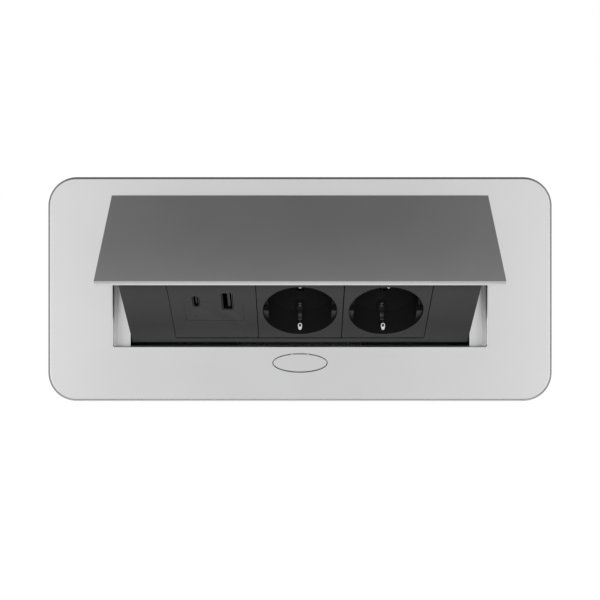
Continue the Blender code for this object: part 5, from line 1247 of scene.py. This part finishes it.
def ring_set(rings, centre, axis="X"):
    """Rings whose radius varies with the angle, each at its height along an axis."""
    circle = np.stack([np.cos(around), np.sin(around)], axis=1)
    loops = []
    for radius, height in rings:
        spread = np.broadcast_to(radius, around.shape)[:, None]
        loops.append(raised(np.asarray(centre) + circle * spread, height, axis))
    return loops


flutes = 0.5 - 0.5 * np.cos(18 * around)
gland_rings = [
    (GLAND_BORE, SEAL_END_X),
    (SEAL_RADIUS, SEAL_END_X),
    (SEAL_RADIUS, GLAND_CAP_X + 0.0002),
    (SEAL_RADIUS + 0.0002, GLAND_CAP_X),
    (SEAL_RADIUS + 0.0006, GLAND_CAP_X),
    (GLAND_DOME * 0.86, GLAND_CAP_X + 0.0006),
    (GLAND_DOME * 0.96 - 0.0003 * flutes, GLAND_CAP_X + 0.0019),
    (GLAND_DOME - 0.00055 * flutes, GLAND_CAP_X + 0.0034),
    (GLAND_DOME - 0.00055 * flutes, GLAND_HEX_X - 0.0009),
    (GLAND_DOME - 0.0002, GLAND_HEX_X - 0.0003),
    (GLAND_DOME - 0.0009, GLAND_HEX_X - 0.0002),
    (GLAND_DOME - 0.0009, GLAND_HEX_X),
    (hexagon(GLAND_HEX, GLAND_HEX * 0.90), GLAND_HEX_X),
    (hexagon(GLAND_HEX, GLAND_HEX), GLAND_HEX_X + 0.0007),
    (hexagon(GLAND_HEX, GLAND_HEX), GLAND_FACE_X - 0.0004),
    (hexagon(GLAND_HEX, GLAND_HEX * 0.93), GLAND_FACE_X),
]
gland_rings += threaded(GLAND_RADIUS, GLAND_FACE_X, GLAND_END_X, 0.0015, 0.0006, around)
gland_rings += [(GLAND_RADIUS - 0.0008, GLAND_END_X), (GLAND_BORE, GLAND_END_X)]
nylon = plated_steel("nylon_black", "black_plastic", NYLON_COLOUR, 0.42, 0.0, 5000.0, 0.00001)
gland = (GLAND_Y, GLAND_Z)
fit(draw("gland_cap_and_body", grid(ring_set(gland_rings, gland), closed=True)), nylon, "root", "gland_body")
nut_rings = [
    (GLAND_RADIUS + GAP, GLAND_NUT[0]),
    (hexagon(GLAND_HEX, GLAND_HEX * 0.93), GLAND_NUT[0]),
    (hexagon(GLAND_HEX, GLAND_HEX), GLAND_NUT[0] + 0.0006),
    (hexagon(GLAND_HEX, GLAND_HEX), GLAND_NUT[1] - 0.0006),
    (hexagon(GLAND_HEX, GLAND_HEX * 0.93), GLAND_NUT[1]),
    (GLAND_RADIUS + GAP, GLAND_NUT[1]),
]
fit(draw("gland_nut_moulding", grid(ring_set(nut_rings, gland), closed=True)), nylon, "root", "gland_nut")
rubber = plated_steel("rubber", "rubber", (0.022, 0.022, 0.022), 0.72, 0.0, 3000.0, 0.00003)
seal = [
    (GLAND_BORE + SEAL_ROOM, SEAL_BACK_X),
    (SEAL_RADIUS - SEAL_ROOM, SEAL_BACK_X),
    (SEAL_RADIUS - SEAL_ROOM, SEAL_FRONT_X),
    (GLAND_BORE + SEAL_EDGE, SEAL_MOUTH_X),
]
seal_section = [(GLAND_BORE + SEAL_ROOM, SEAL_THROAT_X), *eased(seal, SEAL_EDGE)]
fit(draw("gland_seal", turned(seal_section, gland, "X", 72, closed=True)), rubber, "root")


# The worktop clamps: steel angles with a long slot, pulled up from below against the worktop and locked at
# each end of the tub by a knurled thumb screw.
KNOB_RADIUS = 0.007
KNOB_SEAT = TUB_LENGTH / 2 + 0.0026
KNOB_LENGTH = 0.008
KNOB_LOBES = 24
KNURL_DEPTH = 0.00035
for name, side in (("left", -1), ("right", 1)):
    dress(f"clamp_{name}_angle", f"clamp_{name}", 0.0003, coat, f"clamp_{name}")
    knurl = KNURL_DEPTH * (0.5 - 0.5 * np.cos(KNOB_LOBES * around))
    start, tip = KNOB_SEAT, KNOB_SEAT + KNOB_LENGTH
    rings = threaded(CLAMP_SCREW_RADIUS, TUB_INNER_X - 0.004, start - 0.0002, 0.0008, 0.0003, around)
    rings += [
        (CLAMP_SCREW_RADIUS, start),
        (KNOB_RADIUS - 0.0008, start),
        (KNOB_RADIUS - 0.0003 - knurl, start + 0.0004),
        (KNOB_RADIUS - knurl, start + 0.0008),
        (KNOB_RADIUS - knurl, tip - 0.0008),
        (KNOB_RADIUS - 0.0003 - knurl, tip - 0.0004),
        (KNOB_RADIUS - 0.0009, tip),
        (KNOB_RADIUS - 0.0022, tip),
        (KNOB_RADIUS - 0.0026, tip - 0.0006),
        (0.0006, tip - 0.0006),
    ]
    knob = ring_set([(radius, side * x) for radius, x in rings], (0.0, CLAMP_SCREW_Z))
    fit(draw(f"clamp_screw_{name}_knurled", grid(knob)), zinc, "root", f"clamp_screw_{name}")


# The hinge: two steel brackets under the frame, riveted pins, and arms that carry the socket box. A torsion
# spring on the left pin lifts the lid, and an oil damper on the right one slows it.
PIN_RADIUS = 0.002
PIN_LENGTH = 0.018
PIN_HEAD = 0.0015
PIN_HEAD_RADIUS = 0.0035
PIN_SEAT_X = ARM_OUTER_X + 0.002 + GAP
SPRING_WIRE = 0.00055
LID_SPRING_RADIUS = 0.0032
LID_SPRING_TURNS = 4
LID_SPRING_ARM = 0.014
LID_SPRING_ENDS = (-(ARM_OUTER_X - 0.0176 + 2 * SPRING_WIRE), -(0.0863 - GAP - SPRING_WIRE))
LID_SPRING_BEND = 0.002
ARM_FALL = math.atan2(0.015, 0.0375)

for name, side in (("left", -1), ("right", 1)):
    dress(f"hinge_bracket_{name}_plate", f"hinge_bracket_{name}", 0.0002, coat, "root")
    dress(f"arm_{name}_plate", f"arm_{name}", 0.0002, coat, "lid_unit")
    profile = eased([
        (PIN_RADIUS * 0.4, PIN_SEAT_X - PIN_LENGTH - 0.0004),
        (PIN_RADIUS * 0.8, PIN_SEAT_X - PIN_LENGTH - 0.0004),
        (PIN_RADIUS, PIN_SEAT_X - PIN_LENGTH),
        (PIN_RADIUS, PIN_SEAT_X),
        (PIN_HEAD_RADIUS, PIN_SEAT_X),
        (PIN_HEAD_RADIUS, PIN_SEAT_X + PIN_HEAD * 0.6),
        (PIN_HEAD_RADIUS * 0.7, PIN_SEAT_X + PIN_HEAD),
        (PIN_HEAD_RADIUS * 0.2, PIN_SEAT_X + PIN_HEAD),
    ], 0.0003)
    pin = turned([(radius, side * x) for radius, x in profile], (PIVOT_Y, PIVOT_Z), "X", 48)
    fit(draw(f"hinge_pin_{name}_turned", pin), zinc, "root", f"hinge_pin_{name}")
dress("damper_barrel", "damper", 0.0002, black, "lid_unit")


def wire_shape(path, thickness, axis_point, axis):
    """Round wire along a path: at each point a ring of the wire's radius stands square to the tangent, framed
    by the direction out from the spring's axis. The ends are filled."""
    along = np.gradient(path, axis=0)
    along /= np.linalg.norm(along, axis=1)[:, None]
    outward = path - axis_point
    outward = outward - np.outer(outward @ np.asarray(axis, float), axis)
    side = np.cross(along, outward)
    side /= np.linalg.norm(side, axis=1)[:, None]
    out = np.cross(side, along)
    t = np.linspace(0.0, 2 * np.pi, 12, endpoint=False)[None, :, None]
    return grid(path[:, None] + thickness * (np.cos(t) * side[:, None] + np.sin(t) * out[:, None]))


inboard, at_arm = LID_SPRING_ENDS
arm_turn = math.pi + ARM_FALL - OPEN_ANGLE
hook = (PIVOT_Y + LID_SPRING_ARM * math.cos(arm_turn), PIVOT_Z + LID_SPRING_ARM * math.sin(arm_turn))
sweep = 2 * math.pi * (LID_SPRING_TURNS + 1) - arm_turn - math.acos(LID_SPRING_RADIUS / LID_SPRING_ARM)
share = np.linspace(0.0, 1.0, 36 * (LID_SPRING_TURNS + 1))
turns = -sweep * share
helix = np.stack([
    inboard + (at_arm - inboard) * share,
    PIVOT_Y + LID_SPRING_RADIUS * np.cos(turns),
    PIVOT_Z + LID_SPRING_RADIUS * np.sin(turns),
], axis=1)
leg_heights = (TAB_Z - GAP, PIVOT_Z + LID_SPRING_BEND)
leg = np.array([(inboard, PIVOT_Y + LID_SPRING_RADIUS, z) for z in leg_heights])
ends = np.array([(at_arm, *hook), (-(ARM_OUTER_X - GAP - SPRING_WIRE), *hook)])
route = eased(np.concatenate([leg, helix[1:], ends]), 0.0006, 3)
spring = draw("lid_spring_wire", wire_shape(route, SPRING_WIRE, np.array([0.0, PIVOT_Y, PIVOT_Z]), (1, 0, 0)))
spring_steel = plated_steel("spring_steel", "bright_steel", (0.5, 0.5, 0.49), 0.22)
fit(spring, spring_steel, "root", "lid_spring", smooth=80)


# The latch: a steel striker under the socket box, and a sliding bolt in a nylon guide on the tub's floor. The
# button's rod drives the bolt back with its wedge, and three fine springs return them.
HOUSING_FLOOR = -0.0108
SLIDER_FRONT_Y = -0.0445
SLIDER_MIDDLE_Z = -0.0658
LATCH_SPRING_RADIUS = 0.0018
BUTTON_SPRING_RADIUS = 0.0019
FINE_WIRE = 0.0003
FINE_TURNS = 6
FINE_STEPS = 28
FINE_CLOSING = 0.6

dress("striker_plate", "striker", 0.0002, zinc, "lid_unit")
dress("latch_bolt_plate", "latch_slider", 0.0002, zinc, "latch_bolt")
dress("latch_guide_moulding", "latch_guide", 0.00025, black, "root")
dress("push_rod_moulding", "push_rod", 0.0002, grey, "button")
dress("button_housing_moulding", "button_housing", 0.00025, black, "root")
for name in ("left", "right"):
    dress(f"stop_buffer_{name}_cap", f"stop_buffer_{name}", 0.0006, rubber, "root", 4)


def fine_spring(centre, axis, radius, low, high):
    """A compression spring: a helix that turns evenly, its pitch closed up at both ends by a sine ease."""
    share = np.linspace(0.0, 1.0, FINE_STEPS * FINE_TURNS)
    climb = share - FINE_CLOSING * np.sin(2 * np.pi * share) / (2 * np.pi)
    turns = 2 * np.pi * FINE_TURNS * share
    loop = np.stack([centre[0] + radius * np.cos(turns), centre[1] + radius * np.sin(turns)], axis=1)
    along = low + FINE_WIRE + (high - low - 2 * FINE_WIRE) * climb
    a, b = loop.T
    path = np.stack({"Y": (a, along, b), "Z": (a, b, along)}[axis], axis=1)
    point = {"Y": (centre[0], 0.0, centre[1]), "Z": (*centre, 0.0)}[axis]
    way = {"Y": (0, 1, 0), "Z": (0, 0, 1)}[axis]
    return wire_shape(path, FINE_WIRE, np.array(point), way)


for name, side in (("left", -1), ("right", 1)):
    centre = (side * SPRING_PEG_X, BUTTON_Y)
    shape = fine_spring(centre, "Z", BUTTON_SPRING_RADIUS, HOUSING_FLOOR + GAP, BUTTON_LOW - GAP)
    piece = draw(f"button_spring_{name}_wire", shape)
    fit(piece, spring_steel, "root", f"button_spring_{name}", smooth=80)
    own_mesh(piece)
centre = (0.0, SLIDER_MIDDLE_Z)
shape = fine_spring(centre, "Y", LATCH_SPRING_RADIUS, -TUB_INNER_Y + GAP, SLIDER_FRONT_Y - GAP)
piece = draw("latch_spring_wire", shape)
fit(piece, spring_steel, "root", "latch_spring", smooth=80)
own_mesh(piece)
